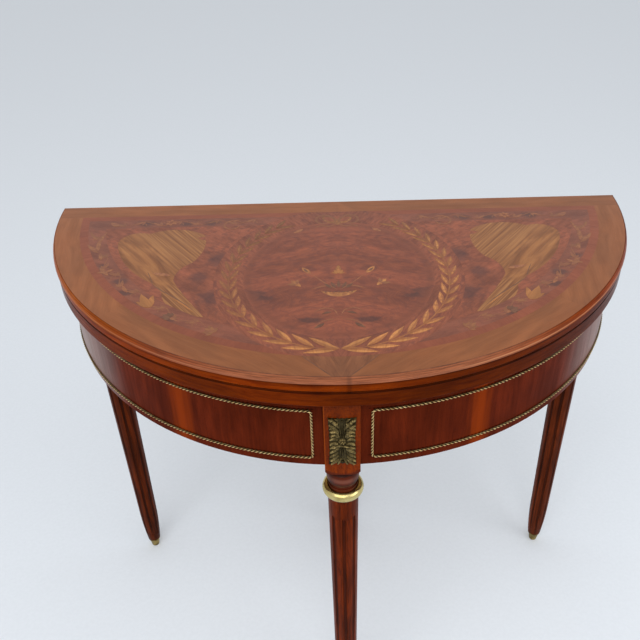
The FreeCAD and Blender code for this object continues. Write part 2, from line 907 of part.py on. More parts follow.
def front_mount():
    """Cast plaque: plate with hollow sides, leaves above and below, petals at the sides of a boss."""
    mid_z = (apron_bottom + lower_bottom) / 2 - mount_lower
    centre = at(0, -front_leg_radius - half_block, mid_z)
    half_w = mount_width / 2
    half_h = mount_height / 2

    def p(across, up):
        return centre + Vector(across * half_w, 0, up * half_h)

    plate = outline(
        p(-1, -1),
        (p(0, -mount_end_dip), p(1, -1)),
        (p(mount_waist, 0), p(1, 1)),
        (p(0, mount_end_dip), p(-1, 1)),
        (p(-mount_waist, 0), p(-1, -1)),
    ).extrude(Vector(0, -mount_plate_thickness, 0))
    lobes = []
    for upright in (-1, 1):
        for lean in (-mount_leaf_lean, 0, mount_leaf_lean):
            turn = math.radians(lean)
            direction = Vector(math.sin(turn), 0, upright * math.cos(turn))
            root = centre + direction * (mount_boss_radius / 2)
            lobes.append(spindle(root, direction, half_h * mount_leaf_length, half_w * mount_leaf_breadth))
    for side in (-1, 1):
        for angle in mount_petal_angles:
            turn = math.radians(side * angle)
            direction = Vector(math.sin(turn), 0, math.cos(turn))
            root = centre + direction * (mount_boss_radius / 2)
            lobes.append(spindle(root, direction, half_w * mount_petal_length, half_w * mount_petal_breadth))
    pins = mount_pins(centre, half_h)
    return plate.fuse(lobes + [mount_boss(centre)]).cut(pins), pins


def mount_pins(centre, half_h):
    """Round-headed pins through the ends of the plaque."""
    profile = outline(
        section(0, 0),
        section(mount_pin_radius, 0),
        section(mount_pin_radius, mount_pin_length),
        section(mount_pin_head_radius, mount_pin_length),
        (section(mount_pin_head_radius * DIAGONAL, mount_pin_length + mount_pin_head_radius * DIAGONAL),
         section(0, mount_pin_length + mount_pin_head_radius)),
    )
    pins = []
    for upright in (-1, 1):
        pin = turned(profile)
        rise = upright * half_h * mount_pin_place
        foot = centre + Vector(0, mount_pin_length - mount_plate_thickness, rise)
        pin.Placement = FreeCAD.Placement(foot, FreeCAD.Rotation(UP, Vector(0, -1, 0)))
        pins.append(pin)
    return pins


# Rails, brace, glue blocks and gate


def side_leg_region(side):
    """Everything on and beyond the inner face of a side leg's block."""
    corner = Vector(-top_radius, half_block - reach, block_bottom)
    region = Part.makeBox(reach, reach, reach, corner)
    return stood(region, side_leg_radius, side * side_leg_angle)


def back_rail():
    """Straight rail between the side legs, and its two tenons."""
    rail = box(-side_leg_x, side_leg_x, -rail_front, -rail_back, rail_bottom, lower_bottom)
    rail = rail.cut([side_leg_region(-1), side_leg_region(1)])
    middle = -(rail_front + rail_back) / 2
    end = side_leg_x - rail_tenon_stop
    tenon = box(
        -end,
        end,
        middle - tenon_thickness / 2,
        middle + tenon_thickness / 2,
        rail_bottom + tenon_shoulder,
        lower_bottom - tenon_shoulder,
    )
    return rail.fuse(tenon).removeSplitter()


def centre_brace():
    """Stretcher from the front block to the back rail, tenoned into both."""
    front = -front_leg_radius + half_block
    bottom = lower_bottom - brace_height
    body = box(-brace_width / 2, brace_width / 2, front, -rail_front, bottom, lower_bottom)
    tongue = box(
        -tenon_thickness / 2,
        tenon_thickness / 2,
        front - tenon_shoulder,
        -rail_front + tenon_shoulder,
        bottom + tenon_shoulder,
        lower_bottom - tenon_shoulder,
    )
    return body.fuse(tongue).removeSplitter()


def glue_blocks():
    """Blocks in the corner between apron and lower leaf, each with a screw up into the leaf."""
    blocks = []
    screws = []
    bottom = lower_bottom - glue_block_size
    inside = disc(apron_inner, bottom - overcut, lower_bottom + overcut)
    length = glue_block_size + top_screw_bite
    for angle in glue_block_angles:
        block = Part.makeBox(
            glue_block_length,
            2 * glue_block_size,
            glue_block_size,
            Vector(-glue_block_length / 2, -glue_block_size, bottom),
        )
        head = polar(apron_inner - glue_block_size / 2, angle, bottom)
        screw = wood_screw(head, UP, length, large_screw_scale)
        blocks.append(stood(block, apron_inner, angle).common(inside).cut(screw))
        screws.append(screw)
    return blocks, screws


def finger_levels(own_turn):
    """Height range of every finger that belongs to one side of the gate hinge."""
    pitch = (gate_top - rail_bottom + gate_finger_gap) / gate_fingers
    spans = []
    for index in range(gate_fingers):
        if index % 2 == own_turn:
            low = rail_bottom + index * pitch
            spans.append((low, low + pitch - gate_finger_gap))
    return spans


def gate_knuckles(own_turn):
    """Round-ended fingers on the gate's pivot."""
    radius = rail_thickness / 2
    centre = at(-gate_pivot_offset, gate_pivot_y, 0)
    knuckles = []
    for low, high in finger_levels(own_turn):
        knuckles.append(Part.makeCylinder(radius, high - low, centre + UP * low))
    return knuckles


def finger_slots(own_turn, side):
    """Spaces cut in one side of the gate hinge for the other side's fingers."""
    slots = []
    end = rail_thickness / 2 + gate_end_gap
    wide = sorted((-gate_pivot_offset - side * end, -gate_pivot_offset + side * end))
    for low, high in finger_levels(1 - own_turn):
        slots.append(
            box(wide[0], wide[1], -rail_back - overcut, 0, low - gate_finger_gap, high + gate_finger_gap)
        )
    return slots


def gate_bore():
    """Hole for the gate pin."""
    foot = at(-gate_pivot_offset, gate_pivot_y, rail_bottom - overcut)
    return Part.makeCylinder(gate_pin_radius + pin_clearance, rail_height + overcut, foot)


def gate_hinge_block():
    """Fixed half of the gate hinge, screwed to the back rail."""
    pivot_x = -gate_pivot_offset
    back = -gate_front + rail_thickness
    block = box(pivot_x - gate_block_length, pivot_x, -rail_back, back, rail_bottom, gate_top)
    block = block.cut(finger_slots(0, -1)).fuse(gate_knuckles(0)).cut(gate_bore())
    screws = []
    length = gate_rail_gap + rail_thickness + gate_screw_bite
    for rise in gate_screw_rows:
        for along in gate_screw_columns:
            head = at(pivot_x - along * gate_block_length, back, rail_bottom + rise * rail_height)
            screws.append(wood_screw(head, Vector(0, -1, 0), length, large_screw_scale))
    return block.cut(screws), screws


def fly_rail():
    """Moving half of the gate hinge, tenoned into the gate leg."""
    pivot_x = -gate_pivot_offset
    back = -gate_front + rail_thickness
    rail = box(pivot_x, -half_block, -gate_front, back, rail_bottom, gate_top)
    tenon = box(
        -half_block - overcut,
        -half_block + tenon_length,
        gate_pivot_y - tenon_thickness / 2,
        gate_pivot_y + tenon_thickness / 2,
        rail_bottom + tenon_shoulder,
        gate_top - tenon_shoulder,
    )
    rail = rail.cut(finger_slots(1, 1)).fuse(gate_knuckles(1)).cut(gate_bore())
    return rail.fuse(tenon).removeSplitter()


def table():
    """Every node of the table by name."""
    nodes = leaves_and_hinges()
    nodes.update(marquetry())
    nodes.update(legs())
    for name, side in (("left", -1), ("right", 1)):
        nodes["apron_" + name] = apron(side)
        nodes["rope_trim_" + name] = rope_frame(side)
        nodes["front_leg_head"] = nodes["front_leg_head"].cut(nodes["apron_" + name])
    brace = centre_brace()
    rail = back_rail()
    for name in ("left_leg_head", "right_leg_head"):
        nodes[name] = nodes[name].cut(rail)
    mount, pins = front_mount()
    nodes["front_leg_head"] = nodes["front_leg_head"].cut([brace] + pins)
    blocks, top_screws = glue_blocks()
    nodes["lower_core"] = nodes["lower_core"].cut(top_screws)
    hinge_block, block_screws = gate_hinge_block()
    swing = fly_rail()
    nodes["gate_leg_head"] = nodes["gate_leg_head"].cut(swing)
    foot = at(-gate_pivot_offset, gate_pivot_y, rail_bottom)
    nodes["back_rail"] = rail.cut([brace] + block_screws)
    nodes["centre_brace"] = brace
    nodes["front_mount"] = mount
    nodes["mount_pins"] = group(pins)
    nodes["glue_blocks"] = group(blocks)
    nodes["top_screws"] = group(top_screws)
    nodes["gate_hinge_block"] = hinge_block
    nodes["gate_block_screws"] = group(block_screws)
    nodes["fly_rail"] = swing
    nodes["gate_pin"] = Part.makeCylinder(gate_pin_radius, gate_top - rail_bottom, foot)
    return nodes


os.makedirs("parts", exist_ok=True)
for node, shape in table().items():
    shape.exportStep("parts/" + node + ".step")
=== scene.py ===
import json
import math

import bmesh
import bpy
import numpy as np
from mathutils import Matrix, Vector


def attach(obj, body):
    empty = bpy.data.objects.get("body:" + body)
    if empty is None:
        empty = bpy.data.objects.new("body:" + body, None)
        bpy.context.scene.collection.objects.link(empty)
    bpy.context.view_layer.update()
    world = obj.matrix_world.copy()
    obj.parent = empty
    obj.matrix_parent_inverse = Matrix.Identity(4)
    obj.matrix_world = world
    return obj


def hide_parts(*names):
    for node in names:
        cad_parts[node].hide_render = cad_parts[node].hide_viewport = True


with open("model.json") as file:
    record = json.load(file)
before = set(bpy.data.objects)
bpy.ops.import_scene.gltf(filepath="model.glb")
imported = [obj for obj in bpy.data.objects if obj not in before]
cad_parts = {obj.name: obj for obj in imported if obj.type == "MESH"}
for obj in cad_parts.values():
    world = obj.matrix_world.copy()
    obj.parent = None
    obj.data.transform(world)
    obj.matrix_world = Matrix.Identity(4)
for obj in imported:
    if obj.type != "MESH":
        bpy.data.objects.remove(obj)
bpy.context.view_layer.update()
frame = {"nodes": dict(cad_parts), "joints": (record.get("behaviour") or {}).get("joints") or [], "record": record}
nodes = frame["nodes"]

MM = 0.001
hinge = np.array(next(joint["pos_m"] for joint in frame["joints"] if joint["name"] == "flap_hinge"))


def node_points(name):
    """Points of a node's mesh in millimetres, measured from the middle of the hinge line."""
    mesh = nodes[name].data
    flat = np.empty(3 * len(mesh.vertices))
    mesh.vertices.foreach_get("co", flat)
    return (flat.reshape(-1, 3) - hinge) / MM


def corners_of(name):
    """Lowest and highest corner of a node."""
    points = node_points(name)
    return points.min(axis=0), points.max(axis=0)


def reach_of(name):
    """Greatest distance of a node from the upright line through the middle of the hinge line."""
    points = node_points(name)
    return float(np.hypot(points[:, 0], points[:, 1]).max())


# Places taken from the frame, in millimetres from the middle of the hinge line
top_level = float(corners_of("flap_border_veneer")[1][2])
apron_low, apron_high = corners_of("apron_right")
apron_radius = reach_of("apron_right")
border_radius = reach_of("flap_border_veneer")
crossband_radius = reach_of("flap_crossband")
crossband_back = float(corners_of("flap_crossband")[1][1])
scroll_radius = reach_of("flap_scroll_band")
ground_radius = reach_of("flap_ground_veneer")
oval_half_width = corners_of("oval_band_veneer")[1][0]
medal_low, medal_high = corners_of("medallion_veneer")
oval_centre = (medal_low[1] + medal_high[1]) / 2
wreath_half_width = (oval_half_width + medal_high[0]) / 2
wreath_half_length = (medal_high[1] - medal_low[1] + oval_half_width - medal_high[0]) / 2
ring_low, ring_high = corners_of("front_leg_ring")

# Camera, in the frame of the photograph
IMAGE_PIXELS = 640
FOCAL_PIXELS = 769.2
SENSOR_WIDTH = 36.0
camera_place = Vector((-0.00375, -0.92661, 1.34195))
camera_right = Vector((0.9995, 0.0055, -0.0299))
camera_up = Vector((0.0211, 0.5797, 0.8146))
camera_forward = Vector((-0.0218, 0.8148, -0.5793))


# Shader nodes


def screen(red, green, blue):
    """Linear colour of 8-bit screen values."""
    linear = []
    for value in (red / 255, green / 255, blue / 255):
        linear.append(value / 12.92 if value <= 0.04045 else ((value + 0.055) / 1.055) ** 2.4)
    return (*linear, 1.0)


def math_method(operation):
    """Method that joins a value to another by a Math node."""
    return lambda self, other=0.0: self.looks.calc(operation, self, other)


class Value:
    """What comes out of a shader node.  Sums and products of values add nodes to the same material."""

    def __init__(self, looks, socket):
        self.looks = looks
        self.socket = socket

    __add__ = math_method("ADD")
    __sub__ = math_method("SUBTRACT")
    __mul__ = math_method("MULTIPLY")
    __truediv__ = math_method("DIVIDE")
    __abs__ = math_method("ABSOLUTE")
    larger = math_method("MAXIMUM")
    smaller = math_method("MINIMUM")

    def __rsub__(self, other):
        return self.looks.calc("SUBTRACT", other, self)

    def level(self, low, high, to_low=0.0, to_high=1.0):
        """Smooth step from one amount to another, as the value goes from low to high."""
        values = {0: self, 1: low, 2: high, 3: to_low, 4: to_high}
        return self.looks.node("MapRange", values, interpolation_type="SMOOTHSTEP")

    def ramp(self, *stops):
        """Colour that runs through stops, each a position and screen values."""
        made = self.looks.node("ValToRGB", {0: self})
        elements = made.socket.node.color_ramp.elements
        while len(elements) < len(stops):
            elements.new(0.5)
        for element, (position, colour) in zip(elements, stops):
            element.position = position
            element.color = screen(*colour)
        return made

    def mix(self, first, second):
        """Colour between two, with the value as the share of the second."""
        return self.looks.mix(self, first, second)

    def vector(self, operation, other):
        return self.looks.node("VectorMath", {0: self, 1: other}, operation=operation)

    def scaled(self, *factors):
        return self.vector("MULTIPLY", factors)

    def shade(self, amount):
        """Colour times an amount."""
        return self.vector("MULTIPLY", self.looks.join(amount, amount, amount))

    def turned(self, angle):
        """Vector turned about Z by an angle in radians."""
        return self.looks.node("VectorRotate", {"Vector": self, "Angle": angle}, rotation_type="Z_AXIS")

    def parts(self):
        split = self.looks.node("SeparateXYZ", {0: self}).socket.node
        return [Value(self.looks, socket) for socket in split.outputs]

    def noise(self, scale=1.0, detail=3.0, roughness=0.55, distortion=0.0):
        values = {"Vector": self, "Scale": scale, "Detail": detail, "Roughness": roughness}
        values["Distortion"] = distortion
        return self.looks.node("TexNoise", values, "Fac")


class Looks:
    """Shader nodes of one material."""

    def __init__(self, name):
        self.material = bpy.data.materials.new(name)
        self.material.use_nodes = True
        self.tree = self.material.node_tree
        self.shader = self.tree.nodes["Principled BSDF"]

    def feed(self, socket, value):
        if isinstance(value, Value):
            self.tree.links.new(value.socket, socket)
        else:
            socket.default_value = value

    def set(self, name, value):
        self.feed(self.shader.inputs[name], value)

    def node(self, kind, values, output=0, **settings):
        """Output of a new node."""
        made = self.tree.nodes.new("ShaderNode" + kind)
        for key, value in settings.items():
            setattr(made, key, value)
        for key, value in values.items():
            self.feed(made.inputs[key], value)
        return Value(self, made.outputs[output])

    def calc(self, operation, first, second=0.0):
        return self.node("Math", {0: first, 1: second}, operation=operation)

    def join(self, x, y, z):
        return self.node("CombineXYZ", {0: x, 1: y, 2: z})

    def mix(self, share, first, second):
        """Colour between two, each a value or screen values."""
        ends = [colour if isinstance(colour, Value) else screen(*colour) for colour in (first, second)]
        return self.node("Mix", {0: share, 6: ends[0], 7: ends[1]}, 2, data_type="RGBA")

    def bump(self, height, strength, distance):
        values = {"Height": height, "Strength": strength, "Distance": distance}
        self.set("Normal", self.node("Bump", values))

    def place(self):
        """Place on the object in centimetres, from the middle of the hinge line."""
        found = self.node("TexCoord", {}, "Object")
        return found.vector("SUBTRACT", tuple(hinge)).scaled(100.0, 100.0, 100.0)

    def folded(self):
        """The same place with the left half of the table folded over on the right."""
        x, y, z = self.place().parts()
        return self.join(abs(x), y, z)


# Places for grain and tone, in centimetres and degrees


def span(x, y):
    """Straight distance of two steps at right angles."""
    return x.looks.calc("SQRT", x * x + y * y)


def turn_of(x, y):
    """Turn from the front."""
    return x.looks.calc("DEGREES", x.looks.calc("ARCTAN2", x, y * -1.0))


def round_place(looks):
    """Turn from the front, distance from the hinge line's middle, and height."""
    x, y, z = looks.place().parts()
    return turn_of(x, y), span(x, y), z


def arc(turn, radius):
    """Length of a turn at a radius in millimetres."""
    return turn * math.radians(radius / 10)


def oval_share(looks):
    """1 on the line of the wreath, less inside it and more outside."""
    x, y, z = looks.place().parts()
    return span(x / (wreath_half_width / 10), (y - oval_centre / 10) / (wreath_half_length / 10))


# Directions of the grain.  Each gives a vector whose X runs along the grain

BORDER_SEGMENT = 45.0
BORDER_SLANT = -14.0
SEGMENT_SHIFT = 9.0


def grain_along(looks):
    """Grain along the width of the table."""
    return looks.place()


def grain_upright(looks):
    """Grain along the height, as in the legs."""
    x, y, z = looks.place().parts()
    return looks.join(z, x, y)


def grain_matched(angle):
    """Straight grain in the plane of the top, mirrored about the middle of the table."""
    return lambda looks: looks.folded().turned(math.radians(-angle))


def grain_on_curve(radius, *order):
    """Grain on a surface that curves about the hinge line's middle; the order begins with the way it runs."""

    def direction(looks):
        turn, distance, z = round_place(looks)
        ways = {"round": arc(turn, radius), "out": distance, "up": z}
        return looks.join(*(ways[way] for way in order))

    return direction


def grain_in_segments(looks):
    """Border veneer laid in matched segments, the grain slanting across each one but not along the back."""
    x, y, z = looks.place().parts()
    segment = looks.calc("FLOOR", abs(turn_of(x, y)) / BORDER_SEGMENT)
    slant = BORDER_SLANT - (segment + 0.5) * BORDER_SEGMENT
    ahead = looks.calc("LESS_THAN", y, crossband_back / 10)
    return looks.join(abs(x), y, segment * SEGMENT_SHIFT).turned(slant * math.radians(1.0) * ahead)


# Kinds of material

# Patterns per centimetre along and across the grain
DRIFT_SCALE = (0.06, 0.16, 0.16)
PORE_SCALE = (1.1, 34.0, 34.0)
CLOUD_SCALE = (0.12, 0.3, 0.3)
FINE_SHARE = 0.35
WOOD_DEPTH = 0.0004
METAL_DEPTH = 0.0003
METAL_TOOTH = 26.0
HOLLOW_TONE = 0.14


def wood(name, direction, dark, light, spacing, length, wander=2.4, pores=0.35, clouds=0.2, tint=None,
         gloss=0.3, roughness=0.34):
    """Polished wood: streaks along the grain, fine lines, open pores and slow changes of tone."""
    looks = Looks(name)
    grain = direction(looks)
    drift = (grain.scaled(*DRIFT_SCALE).noise(detail=2.0) - 0.5) * wander
    grain = grain.vector("ADD", looks.join(0.0, drift, drift))
    coarse = grain.scaled(1 / length, 1 / spacing, 1 / spacing).noise(detail=4.0)
    fine = grain.scaled(2.5 / length, 6 / spacing, 6 / spacing).noise(detail=2.0)
    colour = (fine * FINE_SHARE + coarse * (1 - FINE_SHARE)).ramp((0.32, dark), (0.68, light))
    pore = grain.scaled(*PORE_SCALE).noise(detail=1.0).level(0.6, 0.72)
    cloud = grain.scaled(*CLOUD_SCALE).noise(detail=2.0).level(0.3, 0.7, 1.0 - clouds, 1.0 + clouds)
    colour = colour.shade(cloud * pore.level(0.0, 1.0, 1.0, 1.0 - pores))
    looks.set("Base Color", tint(looks, colour) if tint else colour)
    looks.set("Specular IOR Level", gloss(looks) if callable(gloss) else gloss)
    looks.set("Roughness", coarse.level(0.2, 0.8, roughness + 0.07, roughness - 0.05))
    looks.bump(fine * 0.4 - pore, 0.12, WOOD_DEPTH)
    return looks.material


def metal(name, dark, light, patchy=0.45, roughness=0.3, spread=1.1, tooth=0.08, relief=None, tint=None):
    """Cast or turned brass with tarnish in patches, a fine tooth, and a darker tone where the crown of a relief is
    low: grime in its hollows, and on the rope painted shade on the upper side of the strands.
    """
    looks = Looks(name)
    place = looks.place()
    patches = place.noise(spread, detail=4.0)
    colour = patches.ramp((0.3, dark), (0.3 + patchy, light))
    if relief:
        crown = looks.node("Attribute", {}, "Fac", attribute_name="crown")
        colour = colour.shade(crown.level(*relief, HOLLOW_TONE, 1.0))
    looks.set("Base Color", tint(looks, colour) if tint else colour)
    looks.set("Metallic", 1.0)
    looks.set("Roughness", patches.level(0.25, 0.75, roughness + 0.14, roughness))
    looks.bump(place.noise(METAL_TOOTH, detail=2.0), tooth, METAL_DEPTH)
    return looks.material


def mottle(place, colour, dark, scale, low, high, strength):
    """Colour with dark ragged patches."""
    patches = place.noise(scale, detail=5.0, roughness=0.62, distortion=1.2)
    return patches.level(low, high, strength, 0.0).mix(colour, dark)


def smudge(place, colour, dark, smudges, stretch=1.0):
    """Colour with ragged dark smudges, each a place on the top and a radius."""
    here_x, here_y, here_z = place.parts()
    for x, y, radius in smudges:
        away = span((here_x - x) / stretch, here_y - y)
        edge = place.noise(0.9) * radius + away
        colour = edge.level(0.85 * radius, 1.5 * radius, 0.6, 0.0).mix(colour, dark)
    return colour


# Tints: changes of tone that belong to one place

SIDE_BLEND = 28.65
APRON_STREAKS = ((-29.0, 3.2), (24.0, 2.6))
STREAK_RAGGED = 3.0
# Turns of the apron's ends, which get a painted pale reflection and keep more gloss
END_SHEEN_REACH = (42.0, 61.0)
ROPE_TWIST = 11.0
ROPE_BEAD = 2.5
rope_low, rope_high = corners_of("rope_trim_right")
rope_levels = (float(rope_low[2]) + ROPE_BEAD, float(rope_high[2]) - ROPE_BEAD)
rope_points = node_points("rope_trim_right")
rope_start = math.degrees(np.arctan2(rope_points[:, 0], -rope_points[:, 1]).min())


def apron_tint(looks, colour):
    """Two bands of pale heartwood, painted shade next to the block, a painted pale reflection at the ends, and
    painted dashed shadow above the ropes.
    """
    turn, distance, z = round_place(looks)
    aside = abs(turn)
    ragged = looks.join(turn * math.radians(60.0), z * 0.06, 0.0).noise()
    shifted = ragged * STREAK_RAGGED + turn
    for middle, half_width in APRON_STREAKS:
        away = abs(shifted - (middle + STREAK_RAGGED / 2))
        colour = away.level(0.0, half_width, 0.85, 0.0).mix(colour, (134, 50, 8))
    # Painted reflection: the ends are mixed towards a pale colour
    painted_reflection = aside.level(*END_SHEEN_REACH) * turn.level(-SIDE_BLEND, SIDE_BLEND, 0.5, 0.36)
    colour = painted_reflection.mix(colour, (154, 112, 92))
    # Painted shade: darker next to the block at the front
    tone = aside.level(4.0, 26.0, 0.82, 1.0)
    dashes = looks.calc("SINE", turn * math.radians(4 * math.pi * apron_radius / ROPE_TWIST))
    beside = aside.level(rope_start - 0.57, rope_start) * dashes.level(-0.8, 0.8, 0.25, 0.7)
    # Painted shadow: dashed dark lines just above each rope
    for height in rope_levels:
        above = z - height / 10
        rope_shadow = above.level(0.1, 0.18).smaller(above.level(0.26, 0.4, 1.0, 0.0))
        tone = tone * (1.0 - rope_shadow * beside)
    return colour.shade(tone)


def apron_shine(looks):
    """The ends have kept their polish, the left one more; the rest is dull."""
    turn, distance, z = round_place(looks)
    kept = turn.level(-SIDE_BLEND, SIDE_BLEND, 0.75, 0.3)
    return abs(turn).level(END_SHEEN_REACH[0], END_SHEEN_REACH[1] + 6.0, 0.01, kept)


def turn_tint(middle, *levels):
    """Tone that changes with the turn away from a middle."""
    return lambda looks, colour: colour.shade(abs(round_place(looks)[0] - middle).level(*levels))


NOSING_FOOT = top_level / 10 - 1.0
# Height of the painted highlight line on the nosing
HIGHLIGHT_LEVEL = NOSING_FOOT + 0.3
QUIRK_LEVEL = top_level / 10 - 0.24
SEAM_MIDDLE = -0.19
# Turn about which the nosing gets its painted pale reflection
SHEEN_MIDDLE = 4.0
EDGE_JOINT = 1.2


def edge_tint(looks, colour):
    """Nosing with a painted pale reflection at the front and warm on the left, a painted highlight line low on the
    nosing at the sides, painted shadow below it, a dark seam, and painted shade on the lower leaf.
    """
    turn, distance, z = round_place(looks)
    ends = abs(turn)
    blotch = looks.join(turn * math.radians(12.0), 0.0, z * 9.0).noise(detail=5.0, roughness=0.7)
    nosing = z.level(NOSING_FOOT - 0.03, NOSING_FOOT + 0.05)
    # Painted reflection: the nosing is mixed pale around the front
    nosing_sheen = abs(turn - SHEEN_MIDDLE).level(14.0, 44.0, 0.9, 0.1)
    colour = (nosing_sheen * nosing).mix(colour, blotch.ramp((0.36, (104, 54, 28)), (0.6, (164, 96, 60))))
    warm = turn.level(-60.0, -28.0, 0.8, 0.0)
    colour = (warm * nosing).mix(colour, blotch.ramp((0.4, (142, 62, 8)), (0.6, (188, 100, 26))))
    # Painted highlight: a thin pale line low on the nosing at the sides, stronger on the right
    sheen = ends.level(14.0, 26.0, 0.0, 0.6).smaller(ends.level(56.0, 76.0, 0.6, 0.1))
    sheen = sheen * turn.level(-0.6 * SIDE_BLEND, 0.6 * SIDE_BLEND, 0.45, 1.0)
    highlight_line = abs(z - HIGHLIGHT_LEVEL).level(0.05, 0.12, 1.0, 0.0)
    colour = (highlight_line * sheen).mix(colour, (196, 132, 88))
    # Painted shade: the lower leaf is darker, most at the front; both leaves darker to the right
    lower = z.level(SEAM_MIDDLE - 0.06, SEAM_MIDDLE + 0.06, 1.0, 0.0)
    tone = lower.level(0.0, 1.0, turn.level(-20.0, 30.0, 1.0, 0.55), turn.level(-9.0, 2.0, 0.66, 0.42))
    tone = nosing.level(0.0, 1.0, tone, 1.0)
    above_seam = z.level(SEAM_MIDDLE, SEAM_MIDDLE + 0.5, 0.2, 1.0)
    tone = tone * above_seam.larger(z.level(SEAM_MIDDLE - 0.14, SEAM_MIDDLE, 1.0, 0.2))
    # Painted shadow below the nosing
    tone = tone * z.level(NOSING_FOOT - 0.6, NOSING_FOOT, 1.0, 0.45).larger(nosing)
    tone = tone * abs(turn - EDGE_JOINT).level(0.1, 0.6, 0.68, 1.0).larger(lower)
    tone = tone * distance.level(border_radius / 10, border_radius / 10 + 0.2, 0.4, 1.0)
    return colour.shade(tone * abs(z - QUIRK_LEVEL).level(0.02, 0.1, 0.66, 1.0))


def edge_shine(looks):
    """The nosing is polished bright at the front; the bands below are duller."""
    turn, distance, z = round_place(looks)
    sheen = abs(turn).level(16.0, 44.0, 0.3, 0.03)
    bands = abs(turn).level(58.0, 74.0, 0.02, 0.4)
    return z.level(NOSING_FOOT - 0.05, NOSING_FOOT + 0.1, bands, sheen)


BLOCK_HEAD = float(apron_high[2]) / 10
BLOCK_FOOT = float(apron_low[2]) / 10 - 1.5
NECK_BEAD = BLOCK_FOOT - 1.55
NECK_GROOVES = (BLOCK_FOOT - 2.3, BLOCK_FOOT - 2.75)


def neck_tint(looks, colour):
    """Mottled block with a painted highlight on its left arris, painted shade at its top under the leaf and at its
    lower corners, above a darker turned neck with painted shade under the block and on its sides, a painted
    highlight band round its widest part, and dark lines at its grooves.
    """
    place = looks.place()
    x, y, z = place.parts()
    colour = mottle(place.scaled(1.0, 1.0, 0.7), colour, (66, 20, 2), 2.8, 0.36, 0.54, 0.5)
    # Painted highlight on the left arris of the block
    colour = x.level(-2.32, -2.1, 0.6, 0.0).mix(colour, (156, 70, 12))
    # Painted shade at the top of the block, under the leaf
    colour = colour.shade(z.level(BLOCK_HEAD - 0.7, BLOCK_HEAD, 1.0, 0.6))
    # Painted shade at the lower corners of the block, below a curved line
    lip = x * x * 0.16 + (BLOCK_FOOT + 0.05)
    colour = (z - lip).level(-0.1, 0.35, 0.85, 0.0).mix(colour, (76, 26, 10))
    # Painted highlight: a pale band round the widest part of the neck
    colour = abs(z - NECK_BEAD).level(0.1, 0.5, 0.45, 0.0).mix(colour, (136, 84, 68))
    block = z.level(BLOCK_FOOT - 0.05, BLOCK_FOOT)
    # Painted shade in the recess under the block; darker lines at the grooves
    tone = z.level(BLOCK_FOOT - 1.0, BLOCK_FOOT - 0.65, 1.0, 0.3).larger(block)
    for groove in NECK_GROOVES:
        tone = tone * abs(z - groove).level(0.06, 0.18, 0.4, 1.0)
    # Painted shade on the left and right sides of the neck
    return colour.shade(tone * abs(x).level(0.9, 1.7, 1.0, 0.6).larger(block))


def neck_shine(looks):
    """The neck shines more than the block."""
    x, y, z = looks.place().parts()
    return z.level(BLOCK_FOOT - 0.2, BLOCK_FOOT + 0.1, 0.1, 0.05)


RING_MIDDLE = float(ring_low[1] + ring_high[1]) / 20
RING_HOLLOW = float(ring_high[0]) / 10 - 0.62


def ring_tint(looks, colour):
    """Old polish and shadow in the hollow between the ring and the leg."""
    x, y, z = looks.place().parts()
    inside = span(x, y - RING_MIDDLE).level(RING_HOLLOW - 0.12, RING_HOLLOW, 0.9, 0.0)
    return inside.mix(colour, (52, 22, 12))


BORDER_HIGHLIGHT = 22.0


def border_tint(looks, colour):
    """Each segment of the border a little lighter or darker, with a fine glue line between, and a painted
    highlight on the front right.
    """
    turn, distance, z = round_place(looks)
    steps = turn / BORDER_SEGMENT
    tone = looks.join(looks.calc("FLOOR", steps), 3.7, 1.1).noise(1.7, detail=0.0)
    tone = tone.level(0.3, 0.7, 0.92, 1.08)
    line = looks.calc("PINGPONG", abs(steps), 1.0).level(0.0, 0.005, 0.8, 1.0)
    # Painted highlight: paler around a turn on the front right
    return colour.shade(line * tone * abs(turn - BORDER_HIGHLIGHT).level(5.0, 22.0, 1.09, 1.0))


# Smudges: place on the top, and radius
GROUND_SHADOWS = ((17.5, -18.0, 2.6), (17.4, -28.0, 2.8), (20.0, -22.5, 1.8), (22.0, -33.0, 2.0))
CROTCH_CURLS = ((12.2, -27.4, 1.3), (10.4, -28.4, 0.8), (13.6, -24.5, 0.8), (4.0, -33.8, 0.9),
                (7.6, -35.4, 0.8))
SCROLL_SMUDGES = ((22.8, -32.8, 1.0), (31.0, -23.2, 1.1), (29.6, -26.2, 1.1), (34.5, -19.0, 0.8),
                  (20.0, -6.4, 1.2), (24.0, -6.6, 1.0), (30.5, -6.2, 1.2))
# Dark tone, scale, and the range and strength of the patches
GROUND_MOTTLE = ((88, 48, 38), 0.42, 0.36, 0.52, 0.45)
SCROLL_MOTTLE = ((92, 52, 42), 0.5, 0.38, 0.56, 0.25)
MEDALLION_RIM = 0.83


def smudged_tint(mottling, dark, smudges, stretch=1.0):
    """Mottled ground with ragged smudges of shading."""

    def tint(looks, colour):
        place = looks.folded()
        return smudge(place, mottle(place, colour, *mottling), dark, smudges, stretch)

    return tint


def band_mottle(place, colour):
    """Mottle of the oval band, which runs in over the rim of the medallion."""
    return mottle(place, colour, (96, 52, 44), 0.6, 0.34, 0.5, 0.55)


